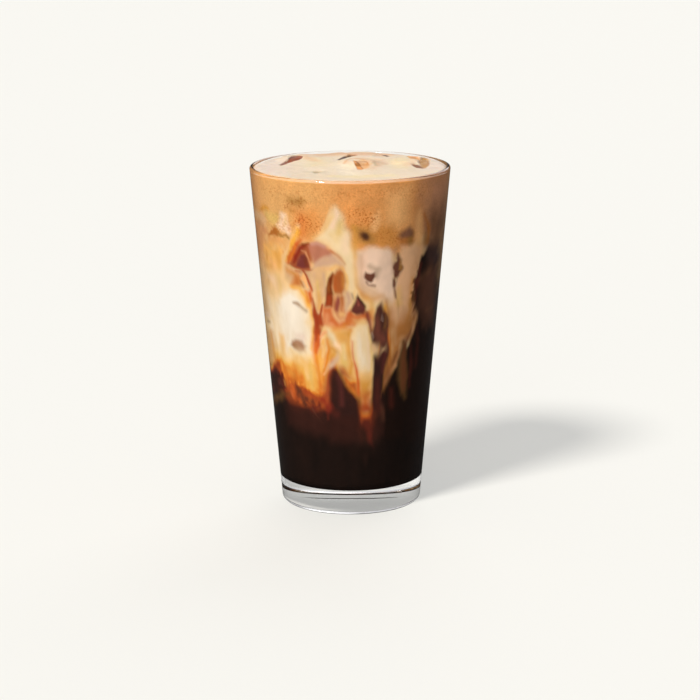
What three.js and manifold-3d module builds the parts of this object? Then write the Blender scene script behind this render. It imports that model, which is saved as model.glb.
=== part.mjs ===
// An iced shaken espresso in its tapered pint glass: dark coffee at the bottom, a marbled
// layer of milk and coffee that reaches down into it in fingers, a deep layer of foam
// that is full almost to the rim, and ice cubes that break the foam's surface.
// Millimetres, +Z up. The origin is the centre of the glass's foot, on what it stands on.
// An angle "round" is in degrees, 0 at the front (-Y) and positive towards the right (+X).
import * as THREE from 'three';
import { mergeVertices } from 'three/addons/utils/BufferGeometryUtils.js';
import Module from 'manifold-3d';

// Glass
const GLASS_HEIGHT = 152;
const RIM_RADIUS = 44.5;
const FOOT_RADIUS = 31;
const RIM_WALL = 2.1;
const LOWER_WALL = 4.4;
const BASE_THICKNESS = 10.6;
const HEEL_ROUNDING = 2.6;
const INNER_CORNER_ROUNDING = 4;
const PUNT_RADIUS = 19;
const PUNT_DEPTH = 1.3;

// Drink
const WALL_GAP = 0.3;
const LAYER_GAP = 0.3;
const ICE_GAP = 0.3;
const FOAM_LEVEL = 150.5;
const FOAM_DOME = 0.5;
const FOAM_EDGE = 126;
const MILK_EDGE = 56;
// Share of the radius inside which a boundary between layers is level
const LEVEL_CORE = 0.5;

// Mesh fineness
const SIDES = 72;
const CORNER_STEPS = 4;
const SIDE_ROWS = 3;
const TOP_RINGS = 9;
const BOUNDARY_RINGS = [0, 0.3, 0.5, 0.68, 0.84, 1];
const ICE_STEPS = 4;

// Where the foam's lower edge leaves its usual height at the wall: peaks of milk that reach
// up into it and bags of foam that hang down
const FOAM_WAVES = [
  { round: -74, rise: 6, width: 12 },
  { round: -11, rise: 13, width: 6 },
  { round: 9, rise: -5, width: 8 },
  { round: 31, rise: -8, width: 13 },
  { round: 76, rise: 4, width: 12 },
];

// Where the milk's lower edge leaves its usual height at the wall: fingers of milk that hang
// down and tongues of coffee that rise between them
const MILK_WAVES = [
  { round: -68, rise: 5, width: 8 },
  { round: -46, rise: -6, width: 10 },
  { round: -27, rise: -6, width: 8 },
  { round: -13, rise: 13, width: 5 },
  { round: 12, rise: -21, width: 6 },
  { round: 24, rise: 34, width: 5 },
  { round: 39, rise: -4, width: 7 },
  { round: 56, rise: 44, width: 9 },
  { round: 72, rise: 46, width: 11 },
  { round: 90, rise: 22, width: 10 },
];

// The back has the front's waves once more, turned half round and gentler, apart from
// those at the sides
const BACK_TURN = 180;
const BACK_SHARE = 0.6;
const FRONT_SPREAD = 80;

// Lumps of foam on the drink's surface, over the ice that lifts it
const FOAM_LUMPS = [
  { x: -1, y: 4, rise: 2.3, radius: 8 },
  { x: 29, y: 15, rise: 1.1, radius: 9 },
  { x: -24, y: 21, rise: 0.8, radius: 9 },
  { x: 4, y: 27, rise: 0.9, radius: 9 },
  { x: 16, y: -18, rise: 0.4, radius: 10 },
  { x: -15, y: -14, rise: -0.6, radius: 5 },
];

// Ice cubes: half sizes, centre, and turn about X, Y and Z in degrees
const ICE = [
  { half: [9, 8.5, 10.5], at: [-22.6, 18, 141.7], turn: [14, 10, 28] },
  { half: [10.5, 8, 11], at: [3.5, 28, 141.1], turn: [8, -13, -9] },
  { half: [9.5, 9.5, 11.5], at: [4, 2, 141.4], turn: [-12, 16, 36] },
  { half: [8.5, 9, 10], at: [-14, -14, 140.3], turn: [10, -8, 12] },
  { half: [8.5, 9.5, 10.5], at: [26.6, 11, 141.6], turn: [9, 12, -24] },
];
// Power of the rounded box: a higher one has sharper corners
const ICE_SHARPNESS = 6;
const ICE_UNEVENNESS = 0.05;

const wasm = await Module();
wasm.setup();

// Plain geometry of the glass

const taper = (RIM_RADIUS - FOOT_RADIUS) / GLASS_HEIGHT;

function outerRadius(z) {
  return FOOT_RADIUS + taper * z;
}

function innerRadius(z) {
  const down = (GLASS_HEIGHT - z) / (GLASS_HEIGHT - BASE_THICKNESS);
  return outerRadius(z) - RIM_WALL - (LOWER_WALL - RIM_WALL) * down;
}

function radians(degrees) {
  return THREE.MathUtils.degToRad(degrees);
}

// Points of a round corner about a centre, from one angle to another, both in degrees
function corner(centreR, centreZ, radius, from, to, steps) {
  const points = [];
  for (let i = 0; i <= steps; i++) {
    const a = radians(from + ((to - from) * i) / steps);
    points.push(new THREE.Vector2(centreR + radius * Math.cos(a), centreZ + radius * Math.sin(a)));
  }
  return points;
}

// The rounded corner between the glass's inner wall and its floor, or the same corner of
// what lies inside it, set in by a gap
function innerCorner(gap) {
  const floor = BASE_THICKNESS + gap;
  const radius = INNER_CORNER_ROUNDING;
  const centreR = innerRadius(floor + radius) - gap - radius;
  return corner(centreR, floor + radius, radius, 0, -90, CORNER_STEPS);
}

function glassGeometry() {
  const punt = [];
  for (let i = 0; i <= CORNER_STEPS; i++) {
    const share = i / CORNER_STEPS;
    punt.push(new THREE.Vector2(PUNT_RADIUS * share, PUNT_DEPTH * (1 - share * share)));
  }
  const heelR = outerRadius(HEEL_ROUNDING) - HEEL_ROUNDING;
  const heel = corner(heelR, HEEL_ROUNDING, HEEL_ROUNDING, -90, 0, CORNER_STEPS);
  const lip = RIM_WALL / 2;
  const lipZ = GLASS_HEIGHT - lip;
  const rim = corner(outerRadius(lipZ) - lip, lipZ, lip, 0, 180, 2 * CORNER_STEPS);
  const floor = [new THREE.Vector2(0, BASE_THICKNESS)];
  const profile = [...punt, ...heel, ...rim, ...innerCorner(0), ...floor];
  return new THREE.LatheGeometry(profile, SIDES).rotateX(Math.PI / 2);
}

// The layers of the drink

// How far a wave whose middle is at an angle moves a height at another one
function bell(wave, middle, round) {
  const off = ((((round - middle + 180) % 360) + 360) % 360) - 180;
  return wave.rise * Math.exp(-((off / wave.width) ** 2));
}

// How far waves move a height at an angle round the glass
function waveRise(waves, round) {
  let rise = 0;
  for (const wave of waves) {
    rise += bell(wave, wave.round, round);
    if (Math.abs(wave.round) < FRONT_SPREAD) {
      rise += BACK_SHARE * bell(wave, wave.round + BACK_TURN, round);
    }
  }
  return rise;
}

// Height of a boundary between layers: wavy at the wall and level in the core
function boundaryHeight(edge, waves, round, share) {
  const out = THREE.MathUtils.smoothstep(share, LEVEL_CORE, 1);
  return edge + waveRise(waves, round) * out;
}

// Half of the upright gap at a boundary, wider where the boundary is steep
function halfGap(edge, waves, round, share, z) {
  if (share <= LEVEL_CORE) return LAYER_GAP / 2;
  const step = 1;
  const ahead = boundaryHeight(edge, waves, round + step, share);
  const behind = boundaryHeight(edge, waves, round - step, share);
  const arc = radians(2 * step) * innerRadius(z) * share;
  return (LAYER_GAP / 2) * Math.hypot(1, (ahead - behind) / arc);
}

// A boundary as seen from one of its two layers: side 1 is its upper face, -1 its lower
function boundaryFace(edge, waves, side) {
  return (round, share) => {
    const z = boundaryHeight(edge, waves, round, share);
    return z + side * halfGap(edge, waves, round, share, z);
  };
}

function foamTop(round, share) {
  const r = share * innerRadius(FOAM_LEVEL);
  const x = r * Math.sin(radians(round));
  const y = -r * Math.cos(radians(round));
  let z = FOAM_LEVEL + FOAM_DOME * (1 - share * share);
  for (const lump of FOAM_LUMPS) {
    z += lump.rise * Math.exp(-((x - lump.x) ** 2 + (y - lump.y) ** 2) / lump.radius ** 2);
  }
  return z;
}

// A closed solid turned round the axis, whose profile may change with the angle. profileAt
// gives as many [radius, height] pairs at each angle, from the axis on top to the axis below.
// Facets that face each other across a gap are split along the same line
function turnedSolid(profileAt) {
  const positions = [];
  const index = [];
  const profiles = [];
  for (let j = 0; j < SIDES; j++) {
    profiles.push(profileAt((360 * j) / SIDES));
  }
  const rows = profiles[0].length;
  const top = profiles[0][0][1];
  const bottom = profiles[0][rows - 1][1];
  positions.push(0, 0, top);
  for (let i = 1; i < rows - 1; i++) {
    for (let j = 0; j < SIDES; j++) {
      const a = radians((360 * j) / SIDES);
      const [r, z] = profiles[j][i];
      positions.push(r * Math.sin(a), -r * Math.cos(a), z);
    }
  }
  positions.push(0, 0, bottom);
  const last = positions.length / 3 - 1;
  const at = (i, j) => 1 + (i - 1) * SIDES + (j % SIDES);
  for (let j = 0; j < SIDES; j++) {
    index.push(0, at(1, j), at(1, j + 1));
    for (let i = 1; i < rows - 2; i++) {
      const corners = [at(i, j), at(i + 1, j), at(i + 1, j + 1), at(i, j + 1)];
      const outward = profiles[j][i + 1][0] > profiles[j][i][0];
      const [a, b, c, d] = outward ? corners : [...corners.slice(1), corners[0]];
      index.push(a, b, c, a, c, d);
    }
    index.push(at(rows - 2, j), last, at(rows - 2, j + 1));
  }
  const geometry = new THREE.BufferGeometry();
  geometry.setAttribute('position', new THREE.Float32BufferAttribute(positions, 3));
  geometry.setIndex(index);
  return geometry;
}

// Profile points of a face, from the axis to the wall or back, at shares of the wall's radius
function facePoints(heightAt, round, shares) {
  const wallZ = heightAt(round, 1);
  const wallR = innerRadius(wallZ) - WALL_GAP;
  return shares.map((share) => [share * wallR, heightAt(share === 0 ? 0 : round, share)]);
}

// A layer that fills the glass between two faces
function layerGeometry(topAt, topShares, bottomAt, bottomShares) {
  return turnedSolid((round) => {
    const top = facePoints(topAt, round, topShares);
    const bottom = facePoints(bottomAt, round, bottomShares).reverse();
    const [highR, highZ] = top[top.length - 1];
    const [lowR, lowZ] = bottom[0];
    const side = [];
    for (let i = 1; i < SIDE_ROWS; i++) {
      const t = i / SIDE_ROWS;
      side.push([THREE.MathUtils.lerp(highR, lowR, t), THREE.MathUtils.lerp(highZ, lowZ, t)]);
    }
    return [...top, ...side, ...bottom];
  });
}

function evenShares(count) {
  return Array.from({ length: count + 1 }, (_, i) => i / count);
}

function foamGeometry() {
  const under = boundaryFace(FOAM_EDGE, FOAM_WAVES, 1);
  return layerGeometry(foamTop, evenShares(TOP_RINGS), under, BOUNDARY_RINGS);
}

function milkGeometry() {
  const over = boundaryFace(FOAM_EDGE, FOAM_WAVES, -1);
  const under = boundaryFace(MILK_EDGE, MILK_WAVES, 1);
  return layerGeometry(over, BOUNDARY_RINGS, under, BOUNDARY_RINGS);
}

function espressoGeometry() {
  const over = boundaryFace(MILK_EDGE, MILK_WAVES, -1);
  const foot = innerCorner(WALL_GAP).map((point) => [point.x, point.y]);
  const centre = [[0, BASE_THICKNESS + WALL_GAP]];
  return turnedSolid((round) => {
    const top = facePoints(over, round, BOUNDARY_RINGS);
    const [highR, highZ] = top[top.length - 1];
    const [lowR, lowZ] = foot[0];
    const middle = [[(highR + lowR) / 2, (highZ + lowZ) / 2]];
    return [...top, ...middle, ...foot, ...centre];
  });
}

// Ice

// An ice cube with rounded corners and uneven faces, grown all round by a clearance
function iceGeometry(cube, number, clearance) {
  const sides = cube.half.map((half) => 2 * half);
  const geometry = new THREE.BoxGeometry(...sides, ICE_STEPS, ICE_STEPS, ICE_STEPS);
  const position = geometry.getAttribute('position');
  const point = new THREE.Vector3();
  const half = new THREE.Vector3(...cube.half);
  for (let i = 0; i < position.count; i++) {
    point.fromBufferAttribute(position, i);
    const unit = point.clone().divide(half);
    const powers = ['x', 'y', 'z'].map((axis) => Math.abs(unit[axis]) ** ICE_SHARPNESS);
    const rounding = (powers[0] + powers[1] + powers[2]) ** (-1 / ICE_SHARPNESS);
    const wave = Math.sin(2.3 * unit.x + number) + Math.sin(2.9 * unit.y - 2 * number);
    const uneven = 1 + (ICE_UNEVENNESS / 2) * (wave + Math.sin(2.1 * unit.z + 3 * number) - 1);
    point.multiplyScalar(rounding * uneven);
    point.setLength(point.length() + clearance * Math.sqrt(2));
    position.setXYZ(i, point.x, point.y, point.z);
  }
  const turn = new THREE.Euler(...cube.turn.map(radians));
  geometry.applyMatrix4(new THREE.Matrix4().makeRotationFromEuler(turn));
  return geometry.translate(...cube.at);
}

// Joining and cutting

function toSolid(geometry) {
  const bare = geometry.clone();
  bare.deleteAttribute('normal');
  bare.deleteAttribute('uv');
  const merged = mergeVertices(bare, 1e-4);
  const vertProperties = new Float32Array(merged.getAttribute('position').array);
  const triVerts = new Uint32Array(merged.getIndex().array);
  return new wasm.Manifold(new wasm.Mesh({ numProp: 3, vertProperties, triVerts }));
}

function toGeometry(solid) {
  const mesh = solid.getMesh();
  const geometry = new THREE.BufferGeometry();
  geometry.setAttribute('position', new THREE.BufferAttribute(mesh.vertProperties, mesh.numProp));
  geometry.setIndex(new THREE.BufferAttribute(mesh.triVerts, 1));
  return geometry;
}

// A layer with a pocket for each ice cube that it holds
function cutRoundIce(geometry) {
  let solid = toSolid(geometry);
  ICE.forEach((cube, i) => {
    solid = solid.subtract(toSolid(iceGeometry(cube, i, ICE_GAP)));
  });
  return toGeometry(solid);
}

// Materials and pieces

function finish(color, roughness, opacity = 1) {
  return new THREE.MeshStandardMaterial({
    color,
    roughness,
    metalness: 0,
    opacity,
    transparent: opacity < 1,
  });
}

function piece(name, geometry, material) {
  const mesh = new THREE.Mesh(geometry, material);
  mesh.name = name;
  return mesh;
}

const drink = new THREE.Group();
drink.add(piece('glass', glassGeometry(), finish('#e8efec', 0.05, 0.3)));
drink.add(piece('espresso', espressoGeometry(), finish('#1f110d', 0.3)));
drink.add(piece('milk', cutRoundIce(milkGeometry()), finish('#dfb98a', 0.45)));
drink.add(piece('foam', cutRoundIce(foamGeometry()), finish('#e9cfa8', 0.7)));
ICE.forEach((cube, i) => {
  drink.add(piece(`ice_${i + 1}`, iceGeometry(cube, i, 0), finish('#c98a52', 0.15, 0.8)));
});

export default drink;
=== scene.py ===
"""An iced shaken espresso in its tapered pint glass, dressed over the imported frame.

Lengths are millimetres unless a name says otherwise. "turn" is the angle round the glass in
degrees, 0 at the front and positive towards the right. The drink's wall is painted with named
strokes in degrees and millimetres, so that each streak of milk, coffee and ice has its place.
"""

import math

import bmesh
import bpy
import numpy as np
from mathutils import Matrix, Vector


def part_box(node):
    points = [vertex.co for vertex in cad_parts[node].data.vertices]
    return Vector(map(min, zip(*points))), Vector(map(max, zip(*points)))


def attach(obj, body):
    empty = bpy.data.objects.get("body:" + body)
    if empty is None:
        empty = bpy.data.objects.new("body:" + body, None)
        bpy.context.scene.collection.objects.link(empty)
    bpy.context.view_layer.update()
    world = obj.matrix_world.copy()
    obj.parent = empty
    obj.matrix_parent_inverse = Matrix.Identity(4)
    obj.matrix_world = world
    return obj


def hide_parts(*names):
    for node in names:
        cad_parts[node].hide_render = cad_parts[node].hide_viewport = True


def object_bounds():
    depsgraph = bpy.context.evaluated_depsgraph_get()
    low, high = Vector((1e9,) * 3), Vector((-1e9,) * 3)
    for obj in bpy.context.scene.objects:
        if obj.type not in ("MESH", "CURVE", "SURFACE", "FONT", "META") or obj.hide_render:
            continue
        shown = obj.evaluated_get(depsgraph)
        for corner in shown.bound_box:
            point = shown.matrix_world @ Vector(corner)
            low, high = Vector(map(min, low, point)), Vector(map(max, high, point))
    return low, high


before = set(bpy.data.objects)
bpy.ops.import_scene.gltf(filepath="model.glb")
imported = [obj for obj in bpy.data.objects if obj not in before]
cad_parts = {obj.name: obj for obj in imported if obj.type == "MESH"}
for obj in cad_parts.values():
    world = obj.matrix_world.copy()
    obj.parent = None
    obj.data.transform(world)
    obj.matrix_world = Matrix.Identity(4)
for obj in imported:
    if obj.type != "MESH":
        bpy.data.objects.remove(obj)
CAD_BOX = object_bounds()

MM = 0.001

# Glass, with the sizes of its solid
GLASS_HEIGHT = 152
RIM_RADIUS = 44.5
FOOT_RADIUS = 31
RIM_WALL = 2.1
LOWER_WALL = 4.4
BASE_THICKNESS = 10.6
HEEL_ROUNDING = 2.6
INNER_CORNER_ROUNDING = 4
PUNT_RADIUS = 19
PUNT_DEPTH = 1.3
GLASS_COLUMNS = 256
GLASS_WALL_ROWS = 12
GLASS_CORNER_STEPS = 12

# Drink, with the sizes of its solids
FOAM_LEVEL = 150.5
FOAM_DOME = 0.5
# How far the foam bulges up inside the rim, above its edge at the glass, and how steeply
FOAM_BULGE = 1.0
FOAM_BULGE_POWER = 60
# Heights of the layers' boundaries at the wall, before waves
FOAM_EDGE = 126
MILK_EDGE = 56
# Share of the radius inside which a boundary between layers is level
LEVEL_CORE = 0.5
# How far the drink reaches into the glass, so that no air gap shows
INTO_WALL = 0.08

# Mesh fineness of the drink
COLUMNS = 600
TOP_RINGS = 84
FACE_RINGS = 7
FOAM_ROWS = 52
MILK_ROWS = 118
ESPRESSO_ROWS = 92
FLOOR_CORNER_STEPS = 10

# The boundaries between the layers at the wall: where waves lift or lower them
FOAM_WAVES = [
    {"turn": -74, "rise": 6, "width": 12},
    {"turn": -11, "rise": 13, "width": 6},
    {"turn": 9, "rise": -5, "width": 8},
    {"turn": 31, "rise": -8, "width": 13},
    {"turn": 76, "rise": 4, "width": 12},
]
MILK_WAVES = [
    {"turn": -68, "rise": 5, "width": 8},
    {"turn": -46, "rise": -6, "width": 10},
    {"turn": -27, "rise": -6, "width": 8},
    {"turn": -13, "rise": 13, "width": 5},
    {"turn": 12, "rise": -21, "width": 6},
    {"turn": 24, "rise": 34, "width": 5},
    {"turn": 39, "rise": -4, "width": 7},
    {"turn": 56, "rise": 44, "width": 9},
    {"turn": 72, "rise": 46, "width": 11},
    {"turn": 90, "rise": 22, "width": 10},
]
# The back repeats the front's waves up to so many degrees from its middle, at a share of their height
BACK_TURN = 180
BACK_SHARE = 0.6
FRONT_SPREAD = 80

# Lumps of foam on the surface, over the ice that lifts it
FOAM_LUMPS = [
    {"x": 2, "y": 3, "rise": 1.8, "radius": 8},
    {"x": 29, "y": 15, "rise": 1.1, "radius": 9},
    {"x": -24, "y": 21, "rise": 0.8, "radius": 9},
    {"x": 4, "y": 27, "rise": 0.9, "radius": 9},
    {"x": 16, "y": -18, "rise": 0.4, "radius": 10},
    {"x": -15, "y": -14, "rise": -0.6, "radius": 5},
]

# Ice cubes that break the surface: half sizes, centre, and turn about X, Y and Z in degrees
ICE = [
    {"half": (9, 8.5, 10.5), "at": (-22.6, 18, 141.7), "turn": (14, 10, 28), "colour": "red ice"},
    {"half": (10.5, 8, 11), "at": (3.5, 28, 141.1), "turn": (8, -13, -9), "colour": "dark ice"},
    {"half": (9.5, 9.5, 11.5), "at": (4, 2, 141.4), "turn": (-12, 16, 36), "colour": "amber ice"},
    {"half": (8.5, 9, 10), "at": (-14, -14, 140.3), "turn": (10, -8, 12), "colour": "grey ice"},
    {"half": (8.5, 9.5, 10.5), "at": (26.6, 11, 141.6), "turn": (9, 12, -24), "colour": "amber ice"},
]
# How square the cubes are: 2 is a ball, and the faces get flatter from there
ICE_SHARPNESS = 6
ICE_CUTS = 40
# Long waves in a cube's faces along X, Y and Z, each shifted by so much for each cube
ICE_UNEVENNESS = 0.05
ICE_WAVES = (2.3, 2.9, 2.1)
ICE_WAVE_SHIFTS = (1, -2, 3)
# Shallow dents, as a share of a cube's size, where waves along two directions cross
ICE_DENT = 0.008
ICE_DENT_WAVES = ((7, 5, 0), (0, -3, 6))
# How far a cube's top stays below its solid's, for the foam that clings to it
ICE_BELOW_TOP = 0.5
# How rounded that flat top is
ICE_TOP_ROUNDING = 0.1
# Painted shade: cubes are painted darker on the sides that face away from this direction of light
ICE_PAINTED_LIGHT_SIDE = (0.8, 0.1, 0.5)
# The darkest share and the contrast of that painted shade
ICE_DARKEST_PAINTED_SHADE = 0.4
ICE_PAINTED_SHADE_CONTRAST = 0.7
# How sharply the painted shade changes at a cube's edges
ICE_FACE_SHARPNESS = 5

# Camera of the photograph, fitted to the rim, the foot and the sides of the glass
CAMERA_AT = (0, -1100, 323.3)
# Height of the level plane on which places at the drink's top are stated, as the camera sees them
SIGHT_LEVEL = 151.5
SIGHT_SLOPE = -CAMERA_AT[1] / (CAMERA_AT[2] - SIGHT_LEVEL)
# How far it looks down and leans to its left, in degrees
CAMERA_PITCH = 13.057
CAMERA_ROLL = -0.23
FOCAL_PIXELS = 2513.8
IMAGE_PIXELS = 700
SENSOR_WIDTH = 36
SHIFT_PIXELS = 0.7
CLIP_METRES = 20

# Paints of the wall. A number is how much milk there is, from 0, black coffee, to 1; three
# numbers are a colour on a screen's scale of 0 to 255
PAINTS = {
    "milk": 1.0,
    "cream": 0.87,
    "pale gold": 0.73,
    "gold": 0.6,
    "orange": 0.47,
    "rust": 0.35,
    "red brown": 0.24,
    "dark": 0.12,
    "coffee": 0.03,
    "foam": (221, 151, 86),
    "light foam": (222, 168, 104),
    "orange foam": (214, 136, 68),
    "brown foam": (204, 124, 62),
    "tan foam": (216, 170, 124),
    "pink tan": (210, 148, 96),
    "pink milk": (238, 202, 168),
    "yellow tan": (220, 180, 104),
    "ochre": (212, 148, 66),
    "lit foam": (238, 176, 112),
    "red tan": (206, 142, 94),
    "left tan": (214, 164, 108),
    "soft gold": (230, 188, 134),
    "soft cream": (230, 202, 158),
    "olive shade": (150, 104, 50),
    "olive dark": (100, 68, 36),
    "blood": (136, 44, 28),
    "dark rust": (104, 54, 34),
    "rust brown": (158, 74, 42),
    "rust orange": (184, 100, 46),
    "mauve": (192, 138, 122),
    "strip": (218, 172, 122),
    "grey lilac": (210, 172, 140),
    "night": (30, 17, 12),
    "olive": (170, 120, 60),
    # Painted shade of the foam's right side, away from the light
    "painted shade foam": (190, 132, 96),
    # Painted shade on the foam's right side, and brown streaks in the coffee there
    "umber": (112, 74, 48),
    "golden brown": (208, 138, 68),
    "amber": (232, 172, 94),
    "notch": (172, 102, 44),
    "window": (104, 62, 46),
    "deep window": (94, 54, 42),
    "plum": (118, 54, 48),
    "deep plum": (100, 50, 42),
    "groove": (122, 54, 22),
    "ellipse": (172, 92, 44),
    "loop": (148, 74, 60),
    "window brown": (128, 84, 62),
    "notch brown": (112, 62, 36),
    "curve brown": (160, 84, 50),
    "deep wash": (54, 28, 22),
    "veil": (180, 114, 88),
    "pale veil": (204, 162, 131),
    "lilac": (222, 190, 172),
    "white lilac": (236, 200, 172),
    "tan": (208, 166, 122),
    "column": (226, 174, 130),
    "brown tan": (180, 116, 60),
    "rim tan": (208, 142, 94),
    "peach": (230, 160, 108),
    # Gold edge, red orange and bright orange are partly the colours of thin coffee over milk and partly
    # painted light, its glow where light shines through
    "gold edge": (232, 166, 66),
    "gold band": (228, 178, 110),
    "red orange": (200, 90, 38),
    "stream": (160, 64, 32),
    "bright orange": (216, 128, 42),
    "pool": (204, 106, 56),
    "grey": (170, 143, 118),
    "grey brown": (168, 124, 94),
    "dim": (136, 92, 42),
    "dim brown": (90, 55, 40),
    # Painted shade over the milk at the right, away from the light
    "painted shade wine": (64, 42, 37),
    "wine": (96, 38, 28),
    "sooty": (50, 29, 25),
    "red ice": (140, 82, 60),
    "dark ice": (70, 28, 8),
    "amber ice": (226, 172, 116),
    "grey ice": (164, 152, 124),
}

# Colours that milk in coffee goes through. The gold and orange between milk and coffee are partly the
# mixture's own colour and partly painted light, the glow of light shining through thin coffee
LEVEL_COLOURS = [
    (0.0, (20, 14, 11)),
    (0.1, (44, 26, 20)),
    (0.22, (88, 38, 26)),
    (0.34, (160, 72, 34)),
    (0.46, (214, 122, 44)),
    (0.58, (228, 168, 80)),
    (0.72, (236, 194, 130)),
    (0.86, (234, 206, 164)),
    (1.0, (236, 222, 202)),
]


# Plain helpers


def linear(colour):
    """A screen colour as the linear light that Blender works in."""
    share = np.asarray(colour, float) / 255
    return np.where(share <= 0.04045, share / 12.92, ((share + 0.055) / 1.055) ** 2.4)


def smooth(share):
    """Smooth step from 0 to 1."""
    share = np.clip(share, 0, 1)
    return share * share * (3 - 2 * share)


def turn_from(turn, middle):
    """How far an angle lies from another, from -180 to 180 degrees."""
    return (turn - middle + 180) % 360 - 180


# Forms of the glass and the drink


def outer_radius(z):
    return FOOT_RADIUS + (RIM_RADIUS - FOOT_RADIUS) * z / GLASS_HEIGHT


def inner_radius(z):
    down = (GLASS_HEIGHT - z) / (GLASS_HEIGHT - BASE_THICKNESS)
    return outer_radius(z) - RIM_WALL - (LOWER_WALL - RIM_WALL) * down


def wave_rise(waves, turn):
    """How far waves move a height at an angle; the back repeats the front's, gentler."""
    rise = np.zeros_like(turn, float)
    for wave in waves:
        rise += wave["rise"] * np.exp(-((turn_from(turn, wave["turn"]) / wave["width"]) ** 2))
        if abs(wave["turn"]) < FRONT_SPREAD:
            off = turn_from(turn, wave["turn"] + BACK_TURN)
            rise += BACK_SHARE * wave["rise"] * np.exp(-((off / wave["width"]) ** 2))
    return rise


def boundary_height(edge, waves, turn, share):
    out = smooth((share - LEVEL_CORE) / (1 - LEVEL_CORE))
    return edge + wave_rise(waves, turn) * out


def corner(centre_r, centre_z, radius, start, end, steps):
    """Points of a round corner, as (radius, height), between two angles in degrees."""
    angle = np.radians(np.linspace(start, end, steps + 1))
    return [(centre_r + radius * math.cos(a), centre_z + radius * math.sin(a)) for a in angle]


def inner_corner(gap, steps):
    floor = BASE_THICKNESS + gap
    radius = INNER_CORNER_ROUNDING
    centre_r = inner_radius(floor + radius) - gap - radius
    return corner(centre_r, floor + radius, radius, 0, -90, steps)


# Meshes

# Edges that turn more than this stay sharp
SHARP_ANGLE = 50


def add_object(name, mesh):
    piece = bpy.data.objects.new(name, mesh)
    bpy.context.scene.collection.objects.link(piece)
    return piece


def mesh_object(name, points, faces):
    """A new object from points in millimetres."""
    mesh = bpy.data.meshes.new(name)
    mesh.from_pydata((np.asarray(points) * MM).tolist(), [], faces)
    mesh.update()
    mesh.set_sharp_from_angle(angle=math.radians(SHARP_ANGLE))
    return add_object(name, mesh)


def turned_faces(rows, columns):
    """Faces of a solid turned round the axis, whose first and last rows are single points."""
    at = 1 + np.arange((rows - 2) * columns).reshape(rows - 2, columns)
    beside = np.roll(at, -1, axis=1)
    last = (rows - 2) * columns + 1
    top = [(0, a, b) for a, b in zip(at[0].tolist(), beside[0].tolist())]
    quads = np.stack([at[:-1], at[1:], beside[1:], beside[:-1]], -1).reshape(-1, 4).tolist()
    bottom = [(a, last, b) for a, b in zip(at[-1].tolist(), beside[-1].tolist())]
    return top + quads + bottom


def turned_points(radius, height):
    """Points of the same solid from its radius and height, as arrays of rows by columns."""
    turn = np.arange(radius.shape[1]) * 360 / radius.shape[1]
    angle = np.radians(turn)
    x = radius * np.sin(angle)
    y = -radius * np.cos(angle)
    rings = np.stack([x, y, height], -1)[1:-1].reshape(-1, 3)
    return np.vstack([(0, 0, height[0, 0]), rings, (0, 0, height[-1, 0])])


def face_rows(columns, first, last):
    """Index range of the faces between two rows of a turned solid."""
    start = 0 if first == 0 else columns + (first - 1) * columns
    return range(start, columns * last)


def set_faces(piece, faces, smooth_shading, slot):
    for i in faces:
        face = piece.data.polygons[i]
        face.use_smooth = smooth_shading
        face.material_index = slot


def set_values(piece, name, values):
    attribute = piece.data.attributes.new(name, "FLOAT", "POINT")
    attribute.data.foreach_set("value", np.asarray(values, np.float32))


def set_colours(piece, name, colours):
    attribute = piece.data.attributes.new(name, "FLOAT_COLOR", "POINT")
    rgba = np.hstack([colours, np.ones((len(colours), 1))])
    attribute.data.foreach_set("color", rgba.astype(np.float32).ravel())


# Seeded noise. Noises are lists of layers: strength, width of a cell in degrees, its height in
# millimetres, and seed

NOISE_HEIGHT = 240
NOISE_BELOW_FLOOR = 20
NOISE_SPARE_ROWS = 4
NOISE_FEWEST_COLUMNS = 4
# Degrees that stand for a millimetre where noise lies on the foam's surface, and where it starts
TOP_NOISE_DEGREES = 4
TOP_NOISE_START = 60
RAGGED_NOISE = [(0.65, 5, 4, 41), (0.35, 2.4, 2.2, 42)]
SHRED_NOISE = [(0.5, 3, 2.4, 43), (0.5, 1.5, 1.2, 44)]
WARP_ASIDE = [(0.6, 9, 6, 1), (0.3, 4, 3, 2)]
WARP_UP = [(0.5, 9, 6, 3), (0.3, 4, 3, 4)]
BACK_WARP_ASIDE = [(6, 24, 22, 5)]
BACK_WARP_UP = [(5, 24, 22, 6)]
VEIN_ASIDE = [(3, 16, 12, 51)]
VEIN_UP = [(4, 16, 12, 52)]
VEIN_NOISE = [(1, 7, 16, 53)]
STREAK_NOISE = [(1, 5, 24, 54)]
CLOUD_NOISE = [(1, 9, 9, 55), (0.7, 3.5, 3, 56)]
TOP_NOISE = [(0.22, 22, 5.5, 21), (0.1, 9, 2.4, 22), (0.05, 4, 1.1, 23)]
TOP_WARP_ASIDE = [(1.2, 24, 6, 31)]
TOP_WARP_UP = [(1.2, 24, 6, 32)]


def noise_layer(turn, z, across, along, seed):
    """Smooth noise from -1 to 1 in cells so many degrees wide and millimetres high."""
    columns = max(NOISE_FEWEST_COLUMNS, round(360 / across))
    rows = int(NOISE_HEIGHT / along) + NOISE_SPARE_ROWS
    grid = np.random.default_rng(seed).uniform(-1, 1, (rows, columns))
    u = (turn % 360) / 360 * columns
    v = np.clip((z + NOISE_BELOW_FLOOR) / along, 0, rows - 2)
    i = np.floor(u).astype(int)
    j = np.floor(v).astype(int)
    fu = smooth(u - i)
    fv = smooth(v - j)
    i = i % columns
    after = (i + 1) % columns
    low = grid[j, i] * (1 - fu) + grid[j, after] * fu
    high = grid[j + 1, i] * (1 - fu) + grid[j + 1, after] * fu
    return low * (1 - fv) + high * fv


def wall_noise(layers, turn, z):
    return sum(strength * noise_layer(turn, z, *cell) for strength, *cell in layers)


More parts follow.
